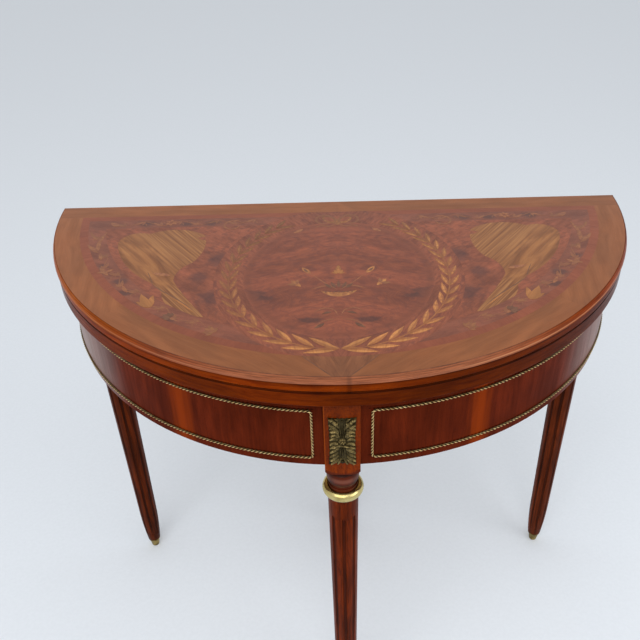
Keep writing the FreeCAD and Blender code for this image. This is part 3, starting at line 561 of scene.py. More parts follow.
def crotch_tint(looks, colour):
    """Flame figure that sweeps down from the middle, with dark curls low at the sides."""
    place = looks.folded()
    flame = place.turned(place.noise(0.12, detail=2.0).level(0.3, 0.7, -0.7, -1.7))
    colour = mottle(place, colour, (92, 50, 42), 0.5, 0.38, 0.56, 0.4)
    colour = mottle(flame.scaled(1.1, 0.4, 1.0), colour, (82, 42, 34), 0.3, 0.36, 0.54, 0.3)
    colour = mottle(flame.scaled(2.0, 0.4, 1.0), colour, (150, 79, 46), 0.4, 0.32, 0.48, 0.3)
    colour = smudge(place, colour, (62, 40, 38), CROTCH_CURLS, 2.4)
    share = oval_share(looks)
    colour = share.level(0.72, 0.88, 0.0, 0.8).mix(colour, band_mottle(place, (132, 72, 50)))
    return colour.shade(abs(share - MEDALLION_RIM).level(0.008, 0.05, 0.84, 1.0))


def band_tint(looks, colour):
    """Cross-grained red band, darker along both sides of the wreath."""
    away = abs(oval_share(looks) - 1.0)
    return band_mottle(looks.folded(), colour).shade(away.level(0.06, 0.14, 1.0, 0.92))


def worn_tint(looks, colour):
    """Rubbed away in flecks, so that the ground shows through."""
    flecks = looks.place().noise(2.2, detail=4.0, roughness=0.7)
    return flecks.level(0.42, 0.6, 0.0, 0.8).mix(colour, (124, 72, 52))


def wreath_tint(looks, colour):
    """Leaves shaded with hot sand towards the stem, paler at the front and to the right, darker on the upper left
    and flecked along the upper part.
    """
    place = looks.place()
    x, y, z = place.parts()
    away = abs(oval_share(looks) - 1.0)
    colour = away.level(0.004, 0.03, 0.6, 0.0).mix(colour, (112, 64, 34))
    upper = y.level(-44.0, -30.0)
    colour = (x.level(-15.0, 4.0, 0.35, 0.0) * upper).mix(colour, (128, 74, 48))
    flecks = place.noise(1.8, detail=4.0, roughness=0.7)
    colour = (flecks.level(0.44, 0.6, 0.0, 0.7) * upper).mix(colour, (128, 76, 52))
    return colour.shade(x * 0.007 - (y + 24.0) * 0.015 + 0.98)


FAN_RUN = (0.6, 0.8)
FAN_TONE = 0.87


def fan_tint(looks, colour):
    """Fine dark lines in the inner half of the fan, broad golden figure in the outer half."""
    x, y, z = looks.folded().parts()
    across = x * FAN_RUN[1] - y * FAN_RUN[0]
    along = x * FAN_RUN[0] + y * FAN_RUN[1]
    lines = looks.join(along * 0.05, across * 3.2, 0.0).noise(roughness=0.7)
    waves = looks.join(along * 0.14, across * 0.75, 4.0).noise(distortion=0.8)
    striped = lines.ramp((0.37, (112, 62, 30)), (0.48, (141, 89, 50)), (0.62, (176, 122, 72)))
    golden = waves.ramp((0.36, (118, 68, 34)), (0.52, (148, 93, 51)), (0.68, (172, 114, 64)))
    inner = across.level(29.0, 32.5, 1.0, 0.0).larger(y.level(-26.0, -24.0, 1.0, 0.0))
    figured = inner.mix(golden.shade(lines.level(0.34, 0.44, 0.7, 1.0)), striped)
    return looks.mix(0.85, colour, figured).shade(FAN_TONE)


FLUTE_PITCH = 45.0
FLUTE_EDGE = (4.0, 10.0)
FLUTE_FOOT = (4.6, 6.0)
FLUTE_HEAD = (49.0, 49.7)
FILLET_TONE = 1.2
FLUTE_TONE = 0.55
FLOOR_LEVEL = -float(hinge[2]) * 100


def flutes_of(leg):
    """Tint of a leg's shaft: darker in the flutes and lighter on the fillets between them, one flute facing
    outwards.
    """
    middle = sum(corners_of(leg + "_leg_shaft")) / 20
    facing = math.degrees(math.atan2(middle[0], -middle[1]))

    def tint(looks, colour):
        x, y, z = looks.place().vector("SUBTRACT", tuple(middle)).parts()
        height = z + (float(middle[2]) - FLOOR_LEVEL)
        away = looks.calc("PINGPONG", turn_of(x, y) - facing, FLUTE_PITCH / 2)
        tone = away.level(*FLUTE_EDGE, 1.0, 0.0).level(0.0, 1.0, FILLET_TONE, FLUTE_TONE)
        fluted = height.level(*FLUTE_FOOT).smaller(height.level(*FLUTE_HEAD, 1.0, 0.0))
        return colour.shade(fluted.level(0.0, 1.0, 1.0, tone))

    return tint


# Woods: direction of the grain, dark and light tone, spacing and length of the streaks, and what else differs
WOODS = {
    "leg_mahogany": (grain_upright, (44, 11, 0), (108, 37, 4), 0.55, 12.0, {"gloss": 0.03}),
    "side_leg_mahogany": (grain_upright, (38, 10, 0), (92, 34, 6), 0.55, 12.0, {"gloss": 0.04}),
    "block_mahogany": (grain_upright, (84, 25, 0), (130, 50, 0), 0.45, 3.0,
                       {"tint": neck_tint, "gloss": neck_shine}),
    "apron_mahogany": (grain_on_curve(apron_radius, "up", "round", "out"), (75, 24, 9), (98, 34, 13),
                       0.55, 11.0, {"tint": apron_tint, "gloss": apron_shine}),
    "edge_walnut": (grain_on_curve(border_radius, "round", "out", "up"), (92, 26, 0), (140, 56, 2), 0.4, 7.0,
                    {"tint": edge_tint, "gloss": edge_shine, "roughness": 0.3}),
    "walnut_border": (grain_in_segments, (122, 69, 35), (141, 84, 46), 1.0, 9.0,
                      {"tint": border_tint, "pores": 0.15, "clouds": 0.12}),
    "dark_walnut": (grain_matched(70.0), (98, 56, 32), (134, 82, 50), 0.6, 5.0, {}),
    "scroll_walnut": (grain_matched(20.0), (112, 62, 46), (134, 77, 56), 0.5, 3.0,
                      {"tint": smudged_tint(SCROLL_MOTTLE, (66, 46, 44), SCROLL_SMUDGES, 1.5)}),
    "crossband_red": (grain_on_curve(crossband_radius, "out", "round", "up"), (122, 62, 41), (134, 71, 46),
                      0.4, 2.0, {"tint": turn_tint(-26.0, 8.0, 24.0, 0.9, 1.0), "pores": 0.1, "clouds": 0.1}),
    "oval_band_red": (grain_matched(60.0), (106, 54, 38), (146, 82, 56), 0.35, 2.0, {"tint": band_tint}),
    "ground_mahogany": (grain_matched(40.0), (114, 60, 41), (148, 82, 56), 0.5, 1.6,
                        {"tint": smudged_tint(GROUND_MOTTLE, (72, 44, 42), GROUND_SHADOWS)}),
    "crotch_mahogany": (grain_matched(-22.0), (112, 58, 42), (142, 76, 50), 0.5, 2.6,
                        {"tint": crotch_tint, "wander": 5.0}),
    "striped_satinwood": (grain_matched(53.0), (124, 74, 40), (172, 118, 70), 0.5, 12.0, {"tint": fan_tint}),
    "satinwood": (grain_matched(75.0), (150, 94, 48), (184, 126, 72), 0.3, 4.0, {"tint": wreath_tint}),
    "burnt_satinwood": (grain_matched(75.0), (128, 78, 42), (158, 102, 58), 0.3, 4.0, {"tint": wreath_tint}),
    "golden_satinwood": (grain_matched(60.0), (138, 86, 46), (170, 112, 62), 0.4, 4.0, {}),
    "dull_satinwood": (grain_matched(30.0), (126, 78, 48), (158, 104, 66), 0.3, 3.0, {"tint": worn_tint}),
    "faint_satinwood": (grain_matched(30.0), (114, 70, 46), (146, 94, 60), 0.3, 3.0, {"tint": worn_tint}),
    "burnt_walnut": (grain_matched(30.0), (84, 54, 40), (116, 76, 54), 0.3, 3.0, {}),
    "mahogany_veneer": (grain_along, (92, 44, 22), (130, 70, 40), 0.9, 16.0, {"gloss": 0.5}),
    "core_wood": (grain_along, (150, 110, 68), (190, 150, 102), 1.4, 18.0, {"gloss": 0.5, "roughness": 0.55}),
}
# Metals: dark and light tone, and what else differs
METALS = {
    # The rope's tint lightens its ends, a painted pale reflection
    "rope_brass": ((186, 150, 94), (246, 218, 158),
                   {"roughness": 0.4, "relief": (0.4, 0.9), "tint": turn_tint(0.0, 35.0, 58.0, 1.0, 1.35)}),
    "gilt_bronze": ((100, 84, 50), (172, 150, 98),
                    {"patchy": 0.4, "roughness": 0.42, "spread": 1.8, "relief": (0.1, 0.9)}),
    "polished_brass": ((138, 122, 68), (192, 176, 118), {"roughness": 0.24, "spread": 0.4, "tooth": 0.02}),
    "ring_brass": ((160, 143, 84), (228, 212, 150),
                   {"roughness": 0.2, "spread": 0.5, "tooth": 0.02, "tint": ring_tint}),
    "sabot_brass": ((70, 58, 26), (168, 146, 84), {"patchy": 0.35, "roughness": 0.34, "spread": 0.9}),
    "brass": ((140, 112, 58), (204, 176, 108), {}),
    "steel": ((96, 92, 88), (170, 168, 164), {"roughness": 0.38}),
}
looks_of = {name: wood(name, *values, **more) for name, (*values, more) in WOODS.items()}
looks_of.update({name: metal(name, *values, **more) for name, (*values, more) in METALS.items()})

# Nodes whose looks differ from those of their material slot
node_looks = {
    "front_leg_head": "block_mahogany", "front_leg_ring": "ring_brass", "gate_leg_sabot": "sabot_brass",
    "left_leg_head": "side_leg_mahogany", "right_leg_head": "side_leg_mahogany",
    "oval_band_veneer": "oval_band_red", "flap_scroll_band": "scroll_walnut",
    "wreath_inlay": "burnt_satinwood",
}
# Fluted shafts: dark and light tone, and gloss
SHAFTS = (("front", (44, 11, 0), (113, 39, 2), 0.03), ("left", (38, 10, 0), (92, 34, 6), 0.04),
          ("right", (44, 13, 2), (102, 40, 10), 0.04))
for leg, dark, light, gloss in SHAFTS:
    name = leg + "_leg_mahogany"
    looks_of[name] = wood(name, grain_upright, dark, light, 0.55, 12.0, tint=flutes_of(leg), gloss=gloss)
    node_looks[leg + "_leg_shaft"] = name
    node_looks[leg + "_leg_sabot"] = "sabot_brass"


def dress_frame():
    """Every piece of the frame takes the looks of its material slot, or its own."""
    for part in frame["record"]["subparts"]:
        mesh = nodes[part["node"]].data
        mesh.materials.clear()
        mesh.materials.append(looks_of[node_looks.get(part["node"], part["material_slot"])])


dress_frame()


# Pieces that are finer than the frame, in millimetres from the middle of the hinge line


def quads(rows, columns, rows_close=False, columns_close=False, first=0):
    """Faces between neighbouring points of a grid, which may close on itself either way."""
    faces = []
    for row in range(rows if rows_close else rows - 1):
        here = first + row * columns
        ahead = first + (row + 1) % rows * columns
        for column in range(columns if columns_close else columns - 1):
            beside = (column + 1) % columns
            faces.append((here + column, here + beside, ahead + beside, ahead + column))
    return faces


def add_piece(name, points, faces, body, looks, stands_for=None, crown=None):
    """Closed mesh that rides on a body.  A piece with a crown, its height at each point, is smooth."""
    mesh = bpy.data.meshes.new(name)
    mesh.from_pydata((np.asarray(points) * MM + hinge).tolist(), [], faces)
    shell = bmesh.new()
    shell.from_mesh(mesh)
    bmesh.ops.recalc_face_normals(shell, faces=shell.faces)
    shell.to_mesh(mesh)
    shell.free()
    mesh.materials.append(looks_of[looks])
    if crown is not None:
        mesh.shade_smooth()
        heights = mesh.attributes.new("crown", "FLOAT", "POINT")
        heights.data.foreach_set("value", np.asarray(crown, dtype=np.float32))
    piece = bpy.data.objects.new(name, mesh)
    bpy.context.scene.collection.objects.link(piece)
    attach(piece, body)
    if stands_for:
        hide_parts(stands_for)


# Rope-twist trim: two strands round each half of the apron

ROPE_CORNER = 4.5
ROPE_LIFT = 1.0
ROPE_SHADE = 0.5
STRAND_RADIUS = 0.92
STRAND_OFFSET = 0.92
STRAND_STEP = 0.8
STRAND_SIDES = 8


def rope_route(node):
    """Even steps along the middle of the trim, on the unrolled apron: distance from the front, and height."""
    points = node_points(node)
    along = np.arctan2(np.abs(points[:, 0]), -points[:, 1]) * apron_radius
    inset = ROPE_BEAD + ROPE_CORNER
    near, far = along.min() + inset, along.max() - inset
    low, high = points[:, 2].min() + inset, points[:, 2].max() - inset
    quarter = np.linspace(0.0, math.pi / 2, 9)
    corners = []
    for index, centre in enumerate(((far, low), (far, high), (near, high), (near, low))):
        turn = quarter + (index - 1) * math.pi / 2
        corners.append(np.column_stack((np.cos(turn), np.sin(turn))) * ROPE_CORNER + centre)
    line = np.vstack(corners + [corners[0][:1]])
    reached = np.concatenate(([0.0], np.cumsum(np.linalg.norm(np.diff(line, axis=0), axis=1))))
    count = round(reached[-1] / STRAND_STEP)
    steps = np.arange(count) * reached[-1] / count
    route = np.column_stack([np.interp(steps, reached, line[:, axis]) for axis in (0, 1)])
    return route, reached[-1]


def unit(vectors):
    """Vectors of length 1."""
    return vectors / np.linalg.norm(vectors, axis=1)[:, None]


def strand(route, length, phase):
    """Points of one strand on the unrolled apron: rings of (distance, height, lift)."""
    count = len(route)
    ahead = unit(np.roll(route, -1, axis=0) - np.roll(route, 1, axis=0))
    inward = np.column_stack((-ahead[:, 1], ahead[:, 0], np.zeros(count)))
    turn = 2 * math.pi * round(length / ROPE_TWIST) * np.arange(count) / count + phase
    away = inward * np.cos(turn)[:, None] + np.array((0.0, 0.0, 1.0)) * np.sin(turn)[:, None]
    middle = np.column_stack((route, np.full(count, ROPE_LIFT))) + away * STRAND_OFFSET
    run = unit(np.roll(middle, -1, axis=0) - np.roll(middle, 1, axis=0))
    aside = unit(np.cross(run, away))
    rings = []
    for side in range(STRAND_SIDES):
        spin = 2 * math.pi * side / STRAND_SIDES
        rings.append(middle + (away * math.cos(spin) + aside * math.sin(spin)) * STRAND_RADIUS)
    return np.stack(rings, axis=1)


def make_rope(name, side):
    """Both strands of one half, wrapped on the curve of the apron."""
    node = "rope_trim_" + name
    route, length = rope_route(node)
    points = []
    faces = []
    crown = []
    spin = np.cos(2 * math.pi * np.arange(STRAND_SIDES) / STRAND_SIDES)
    for phase in (0.0, math.pi):
        rings = strand(route, length, phase)
        first = sum(len(part) for part in points)
        faces += quads(len(route), STRAND_SIDES, True, True, first)
        along, rise, lift = rings.reshape(-1, 3).T
        turn = along / apron_radius
        reach = apron_radius + lift
        points.append(np.column_stack((side * reach * np.sin(turn), -reach * np.cos(turn), rise)))
        # Painted shade on the upper side of each strand, carried in its crown
        above = (rings[:, :, 1] - route[:, 1:]) / (STRAND_RADIUS + STRAND_OFFSET)
        unshaded = 1 - ROPE_SHADE * np.clip(2 * above - 0.6, 0.0, 1.0)
        crown.append(((spin + 1) / 2 * unshaded).ravel())
    add_piece("rope_" + name, np.vstack(points), faces, "frame", "rope_brass", node,
              np.concatenate(crown))


# Cast plaque: acanthus lobes round a rosette

PLAQUE_COLUMNS = 131
PLAQUE_ROWS = 281
PLAQUE_BASE = 0.7
PLAQUE_WAIST = 0.07
PLAQUE_DIP = 0.04
ROSETTE_RADIUS = 5.2
ROSETTE_HEIGHT = 3.0
BUTTON_RADIUS = 1.6
PLAQUE_DEPTH = 5.0
PLAQUE_LIFT = 1.45
CHASING = 0.4
LOBE_STEPS = 10
CURL_EYE = (13.4, 33.6)
EYE_RADIUS = 1.3
GROOVE_DEPTH = 2.2
GROOVE_WIDTH = 0.7
FIELD_HALF = 5.2
RIB_HEIGHT = 1.5
RIB_COUNT = 40
PETAL_COUNT = 7
PETAL_HEIGHT = 0.8
# The two halves of the casting aren't quite alike
UNEVEN_REACH = 4.0
UNEVEN_WIDTH = 0.03
UNEVEN_RISE = 0.5
# Depth and number of the scallops
SIDE_SCALLOPS = (0.02, 8)
END_SCALLOPS = (0.01, 6)
# Root, bend, tip, half breadth and height of each lobe of the right half
PLAQUE_LOBES = (
    ((5.0, 24.0), (9.5, 32.0), (16.4, 38.6), 2.7, 3.6),
    ((9.6, 25.0), (7.4, 28.0), (5.4, 32.6), 1.7, 3.2),
    ((5.0, 33.0), (6.5, 36.5), (9.5, 38.8), 1.8, 2.2),
    ((5.2, 15.5), (9.6, 23.4), (16.2, 28.0), 2.6, 2.7),
    ((4.4, 9.0), (7.6, 18.6), (14.8, 17.2), 2.4, 4.2),
    ((12.0, 21.0), (14.0, 22.0), (16.2, 21.6), 1.6, 2.4),
    ((6.0, 7.4), (9.4, 12.4), (15.0, 10.4), 2.1, 3.2),
    ((6.4, 2.6), (11.0, 4.6), (16.0, 3.6), 2.4, 2.9),
    ((6.0, -4.0), (11.0, -3.0), (15.8, -4.4), 2.3, 3.5),
    ((0.2, -8.6), (6.0, -8.0), (12.0, -10.6), 1.4, 3.2),
    ((7.0, -10.0), (11.0, -10.0), (15.8, -11.6), 2.1, 2.5),
    ((5.0, -12.6), (9.0, -16.0), (15.6, -19.4), 2.6, 3.0),
    ((6.6, -20.0), (10.0, -24.2), (15.8, -27.0), 2.6, 2.5),
    ((6.2, -26.4), (10.0, -31.0), (15.8, -33.6), 2.5, 2.9),
    ((5.6, -32.0), (8.6, -36.0), (14.8, -39.2), 2.3, 3.1),
    ((2.0, -31.0), (3.4, -35.4), (6.4, -39.2), 1.8, 2.4),
)


def lobe_height(x, z, root, bend, tip, breadth, height):
    """Rounded lobe along a bent line, that rises towards its tip."""
    share = np.linspace(0.0, 1.0, LOBE_STEPS)[:, None]
    line = (1 - share) ** 2 * np.array(root) + 2 * share * (1 - share) * np.array(bend)
    line += share**2 * np.array(tip)
    rise = np.zeros_like(x)
    for (near, far), reached in zip(zip(line, line[1:]), share[:, 0]):
        run = far - near
        part = np.clip(((x - near[0]) * run[0] + (z - near[1]) * run[1]) / (run @ run), 0.0, 1.0)
        away = np.hypot(x - near[0] - part * run[0], z - near[1] - part * run[1])
        along = reached + part / (LOBE_STEPS - 1)
        half = breadth * (0.6 + 0.5 * np.sin(math.pi * np.clip(along, 0.0, 1.0)))
        round_top = np.sqrt(np.clip(1 - (away / half) ** 2, 0.0, 1.0))
        rise = np.maximum(rise, height * (0.5 + 0.5 * along) * round_top)
    return rise


def plaque_height(x, z):
    """Depth of the relief at places measured from the middle of the plaque."""
    uneven = np.tanh(x / UNEVEN_REACH)
    across = np.abs(x) * (1 - UNEVEN_WIDTH * uneven)
    up = z + UNEVEN_RISE * uneven
    relief = np.zeros_like(x)
    for lobe in PLAQUE_LOBES:
        relief = np.maximum(relief, lobe_height(across, up, *lobe))
    inner = np.clip(1 - (across / FIELD_HALF) ** 2, 0.0, 1.0)
    spread = np.arctan2(across, np.abs(z) + 3.0)
    ribs = RIB_HEIGHT * inner * (0.5 + 0.5 * np.cos(RIB_COUNT * spread + 1.0))
    relief = np.maximum(relief, ribs)
    eye = np.hypot(across - CURL_EYE[0], up - CURL_EYE[1])
    relief -= GROOVE_DEPTH * np.exp(-((eye / EYE_RADIUS) ** 2))
    away = np.hypot(x, z)
    petals = PETAL_HEIGHT * np.cos(PETAL_COUNT * np.arctan2(z, x) + 0.5 * away)
    petals *= np.clip(away / ROSETTE_RADIUS, 0.0, 1.0)
    rosette = ROSETTE_HEIGHT * np.sqrt(np.clip(1 - (away / ROSETTE_RADIUS) ** 2, 0.0, 1.0)) + petals
    rosette -= GROOVE_DEPTH * np.exp(-(((away - BUTTON_RADIUS) / GROOVE_WIDTH) ** 2))
    relief = np.where(away < ROSETTE_RADIUS, np.maximum(relief * 0.3, rosette), relief)
    chased = 1 - CHASING * (0.5 + 0.5 * np.sin(1.3 * x + 0.9 * z) * np.sin(1.1 * z - 1.5 * x))
    waves = np.sin(0.37 * z + 0.9 * np.sin(0.3 * x)) * np.sin(0.55 * x + 0.21 * z)
    chased *= 1 - CHASING * (0.5 + 0.5 * waves)
    return np.clip(PLAQUE_BASE + PLAQUE_LIFT * relief * chased, 0.4, PLAQUE_DEPTH)


def make_plaque():
    """Relief on a grid that follows the hollow sides of the plate, with a rim and a flat back."""
    plate = node_points("front_mount")
    low, high = plate.min(axis=0), plate.max(axis=0)
    half_width, half_height = (high[0] - low[0]) / 2, (high[2] - low[2]) / 2
    across, up = np.meshgrid(np.linspace(-1, 1, PLAQUE_COLUMNS), np.linspace(-1, 1, PLAQUE_ROWS))
    sides = 1 + SIDE_SCALLOPS[0] * np.cos(SIDE_SCALLOPS[1] * math.pi * up)
    ends = 1 + END_SCALLOPS[0] * np.cos(END_SCALLOPS[1] * math.pi * across)
    x = across * half_width * (1 - PLAQUE_WAIST * (1 - up**2)) * sides
    z = up * half_height * (1 - PLAQUE_DIP * (1 - across**2)) * ends
    depth = plaque_height(x, z)
    front = np.column_stack((x.ravel(), high[1] - depth.ravel(), (low[2] + high[2]) / 2 + z.ravel()))
    index = np.arange(front.shape[0]).reshape(across.shape)
    rim = np.concatenate((index[0, :-1], index[:-1, -1], index[-1, :0:-1], index[:0:-1, 0])).tolist()
    back = front[rim]
    back[:, 1] = high[1]
    first = len(front)
    rear = list(range(first, first + len(rim)))
    faces = quads(PLAQUE_ROWS, PLAQUE_COLUMNS)
    for here in range(len(rim)):
        ahead = (here + 1) % len(rim)
        faces.append((rim[here], rim[ahead], rear[ahead], rear[here]))
    faces.append(tuple(rear))
    crown = np.concatenate((depth.ravel() / PLAQUE_DEPTH, np.zeros(len(rim))))
    add_piece("plaque", np.vstack((front, back)), faces, "frame", "gilt_bronze", "front_mount",
              crown)


# Small inlays of the top

INLAY_PROUD = 0.04
INLAY_STEP = 0.002
INLAY_LEVELS = 41
INLAY_LAYER = 0.09
INLAY_DEPTH = 0.3
LEAF_TIP = 0.1
LEAF_STEPS = 8
LEAF_FULLNESS = 0.85
STRIP_TAPER = 6.0
STRIP_END = 0.3
CURL_STEPS = 24
PALMETTE_SPREAD = 32.0
PALMETTE_FALL = 0.14
PALMETTE_BEND = 14.0
ROOT_GAP = 2.0
SCROLL_MIDDLE = (scroll_radius + ground_radius) / 2
BACK_SCROLL = float(node_points("flap_scroll_band")[:, 1].max()) - (scroll_radius - ground_radius) / 2


def inlay(name, looks, layer, singles=(), pairs=()):
    """Thin pieces of one wood let into the top, each given by its left and right edge; a pair is mirrored."""
    outlines = list(singles)
    for edges in pairs:
        outlines += [edges, [np.asarray(line) * (-1, 1) for line in edges]]
    points = []
    faces = []
    for count, (left, right) in enumerate(outlines):
        # Each lies a hair higher than the one before, so that crossing pieces don't share a face
        proud = INLAY_PROUD + layer * INLAY_LAYER + INLAY_STEP * (count % INLAY_LEVELS)
        section = ((left, proud), (right, proud), (right, -INLAY_DEPTH), (left, -INLAY_DEPTH))
        first = len(points)
        for row in range(len(left)):
            points.extend((*line[row], top_level + level) for line, level in section)
        last = len(points) - 4
        faces += quads(len(left), 4, columns_close=True, first=first)
        faces += [tuple(range(first, first + 4)), tuple(range(last, last + 4))]
    add_piece(name, points, faces, "flap", looks)


def onward(x, y, angle, distance):
    """Point at a distance from another."""
    turn = math.radians(angle)
    return x + distance * math.cos(turn), y + distance * math.sin(turn)


def leaf(x, y, angle, length, half_width, bend=0.0):
    """Pointed leaf whose middle line bends by an angle in degrees."""
    share = np.linspace(0.0, 1.0, LEAF_STEPS + 1)
    turn = np.radians(angle + bend * (share - 0.5))
    heading = np.column_stack((np.cos(turn), np.sin(turn)))
    spine = np.vstack(((0.0, 0.0), np.cumsum(heading[:-1], axis=0))) * length / LEAF_STEPS + (x, y)
    aside = np.column_stack((-heading[:, 1], heading[:, 0]))
    aside = aside * (half_width * np.sin(math.pi * share**LEAF_FULLNESS) + LEAF_TIP)[:, None]
    return spine + aside, spine - aside


def smooth_line(points, steps=6):
    """Curve through a few points."""
    knots = np.array(points, dtype=float)
    knots = np.vstack((2 * knots[0] - knots[1], knots, 2 * knots[-1] - knots[-2]))
    line = []
    for a, b, c, d in zip(knots, knots[1:], knots[2:], knots[3:]):
        for t in np.arange(steps) / steps:
            line.append(b + 0.5 * t * (c - a + t * (2 * a - 5 * b + 4 * c - d + t * (3 * (b - c) + d - a))))
    line.append(knots[-2])
    return np.array(line)


def strip(line, width):
    """Band along a line, narrow at its ends."""
    ahead = unit(np.gradient(line, axis=0))
    share = np.linspace(0.0, 1.0, len(line))
    half = width / 2 * np.clip(STRIP_TAPER * np.minimum(share, 1 - share), STRIP_END, 1.0)
    aside = np.column_stack((-ahead[:, 1], ahead[:, 0])) * half[:, None]
    return line + aside, line - aside


def band(width, *points):
    """Strip along a curve through points."""
    return strip(smooth_line(points), width)


def curl(x, y, radius, start, end, width, close=0.3):
    """Spiral band that winds in from a radius."""
    share = np.linspace(0.0, 1.0, CURL_STEPS + 1)
    turn = np.radians(start + (end - start) * share)
    reach = radius * (1 - (1 - close) * share)
    return strip(np.column_stack((x + reach * np.cos(turn), y + reach * np.sin(turn))), width)


def disc(x, y, radius):
    """Round dot."""
    return leaf(x - radius, y, 0.0, 2 * radius, radius)


def petal(x, y, angle, length, half_width, bend=0.0):
    """Leaf that starts a little away from the root that it shares with others."""
    return leaf(*onward(x, y, angle, ROOT_GAP), angle, length - ROOT_GAP, half_width, bend)


def flower(x, y, count, length, half_width):
    """Petals round a point."""
    return [petal(x, y, 90 + 360 * index / count, length, half_width) for index in range(count)]


def palmette(x, y, angle, length, half_width):
    """Five leaves that spread from a point."""
    leaves = []
    for step in range(-2, 3):
        share = 1 - PALMETTE_FALL * abs(step)
        turn = angle + PALMETTE_SPREAD * step
        leaves.append(petal(x, y, turn, length * share, half_width * share, PALMETTE_BEND * step))
    return leaves


def on_curve(along, aside):
    """Point of the curved band: distance along its middle from the front, and outwards."""
    turn = along / SCROLL_MIDDLE
    reach = SCROLL_MIDDLE + aside
    return reach * math.sin(turn), -reach * math.cos(turn)


def on_back(along, aside):
    """Point of the straight band behind: distance from the middle of the table, and backwards."""
    return along, BACK_SCROLL + aside


VINE_SWING = 7.0
VINE_WIDTH = 1.5
# Leaves in a bend: turn away from the bend, share of its length, half width, and how far the leaf bends
VINE_LEAVES = ((0.0, 0.8, 2.6, 25.0), (42.0, 0.5, 1.9, 20.0))
TENDRIL_RADIUS = 5.0
TENDRIL_WIDTH = 1.3


def vine(place, start, end, waves):
    """Waving stem with two leaves and a tendril in every bend."""
    stretch = (end - start) / waves
    stem = []
    for index in range(4 * waves + 1):
        stem.append(place(start + index * stretch / 4, VINE_SWING * math.sin(index * math.pi / 2)))
    edges = [band(VINE_WIDTH, *stem)]
    for index in range(2 * waves):
        way = 1 if index % 2 else -1
        along = start + (index + 0.5) * stretch / 2
        root = place(along, -way * VINE_SWING)
        tip = place(start + (index + 1.15) * stretch / 2, way * VINE_SWING)
        angle = math.degrees(math.atan2(tip[1] - root[1], tip[0] - root[0]))
        length = math.dist(root, tip)
        for aside, share, half_width, bend in VINE_LEAVES:
            edges.append(leaf(*root, angle + aside * way, share * length, half_width, bend * way))
        eye = place(along, way * 2.0)
        edges.append(curl(*eye, TENDRIL_RADIUS, angle - 90, angle + 200 * way, TENDRIL_WIDTH))
    return edges


# Leaves of the sprigs at the ends of the scroll band: root, direction, length and half width
SPRIG_LEAVES = (
    (361, -152, 51, 38, 3.0), (363, -146, 84, 40, 3.2), (366, -122, 96, 36, 2.2), (374, -110, 60, 30, 2.0),
    (331, -216, 52, 28, 3.4), (337, -208, 140, 13, 2.6), (339, -206, -15, 11, 2.4), (348, -68, 40, 20, 4.4),
    (352, -172, 76, 22, 2.6), (294, -262, 60, 20, 2.6),
)
SPRIG_BEND = 14.0
# Leaves of the bright sprays: direction, length, half width and bend
SPRAY_LEAVES = ((62, 40, 6.0, 20), (88, 32, 4.6, 24), (34, 28, 4.0, -10))
SPRAY_ROOT = (254.0, -302.0)


def make_scrolls():
    """Foliage of the scroll band and the spandrels."""
    stems = vine(on_curve, 150.0, 512.0, 6) + vine(on_back, 116.0, 352.0, 4)
    inlay("vine_inlay", "faint_satinwood", 0, pairs=stems)
    leaves = [leaf(*sprig, SPRIG_BEND) for sprig in SPRIG_LEAVES]
    leaves += palmette(161.0, -362.0, 40.0, 18.0, 3.4) + flower(265.0, -60.0, 6, 10.0, 2.4)
    leaves.append(curl(165.0, -74.0, 17.0, 150.0, -190.0, 3.0, 0.55))
    inlay("scroll_inlay", "dull_satinwood", 1, pairs=leaves)
    spray = [petal(*SPRAY_ROOT, *sizes) for sizes in SPRAY_LEAVES]
    inlay("spray_inlay", "golden_satinwood", 2, pairs=spray)
    inlay("shadow_inlay", "burnt_walnut", 2, pairs=palmette(222.0, -325.0, 28.0, 15.0, 3.4))


def make_fan_lines():
    """Notch in the inner corner of each fan, and the parting between the fan and its lower leaf."""
    inlay("fan_notch", "ground_mahogany", 0, pairs=[leaf(196.0, -116.0, 12.0, 20.0, 5.0)])
    parting = [band(1.6, (262, -243), (250, -256), (232, -272), (213, -290), (196, -309)),
               band(1.2, (276, -208), (268, -226), (262, -243))]
    inlay("fan_parting", "burnt_walnut", 0, pairs=parting)
    edge = band(2.6, (249, -259), (231, -276), (212, -294), (196, -312))
    inlay("fan_edges", "golden_satinwood", 1, pairs=[edge])
    inlay("fan_leaf", "dull_satinwood", 1, pairs=[leaf(240.0, -220.0, 14.0, 30.0, 4.0)])


def make_bouquet():
    """Stems, leaves, rim and shell that belong to the basket of flowers."""
    stems = [
        band(1.3, (2, -266), (18, -250), (40, -223)),
        band(1.3, (2, -327), (8, -314), (22, -311), (34, -321)),
        band(1.3, (0, -335), (16, -338), (27, -345), (33, -360)),
        leaf(58, -252, 5, 15, 2.8, -20), leaf(58, -251, 95, 13, 2.6, 20), leaf(54, -92, -38, 18, 3.3, 16),
    ]
    inlay("stem_inlay", "dull_satinwood", 0, pairs=stems)
    mouth = band(2.4, (-38, -264), (-22, -257), (0, -254), (22, -257), (38, -264))
    inlay("basket_mouth", "faint_satinwood", 0, [mouth])
    foliage = [leaf(5 * step, -262, 90 - 20 * step, 19 - 2 * abs(step), 2.3) for step in range(-2, 3)]
    for x, angle in ((-46.5, 125.0), (46.5, 55.0)):
        foliage.append(leaf(*onward(x, -215.0, angle, -5.0), angle, 11, 1.7))
    foliage += [disc(6 * step, -271.5 - 0.05 * (9 - step * step), 1.3) for step in range(-3, 4)]
    sprigs = [leaf(20, -344, -40, 18, 2.6, 30), leaf(10, -320, -20, 14, 2.0, -30)]
    inlay("foliage_inlay", "burnt_walnut", 1, foliage, sprigs)
    inlay("shell_inlay", "golden_satinwood", 1, palmette(0.0, -226.0, 90.0, 15.0, 2.6))


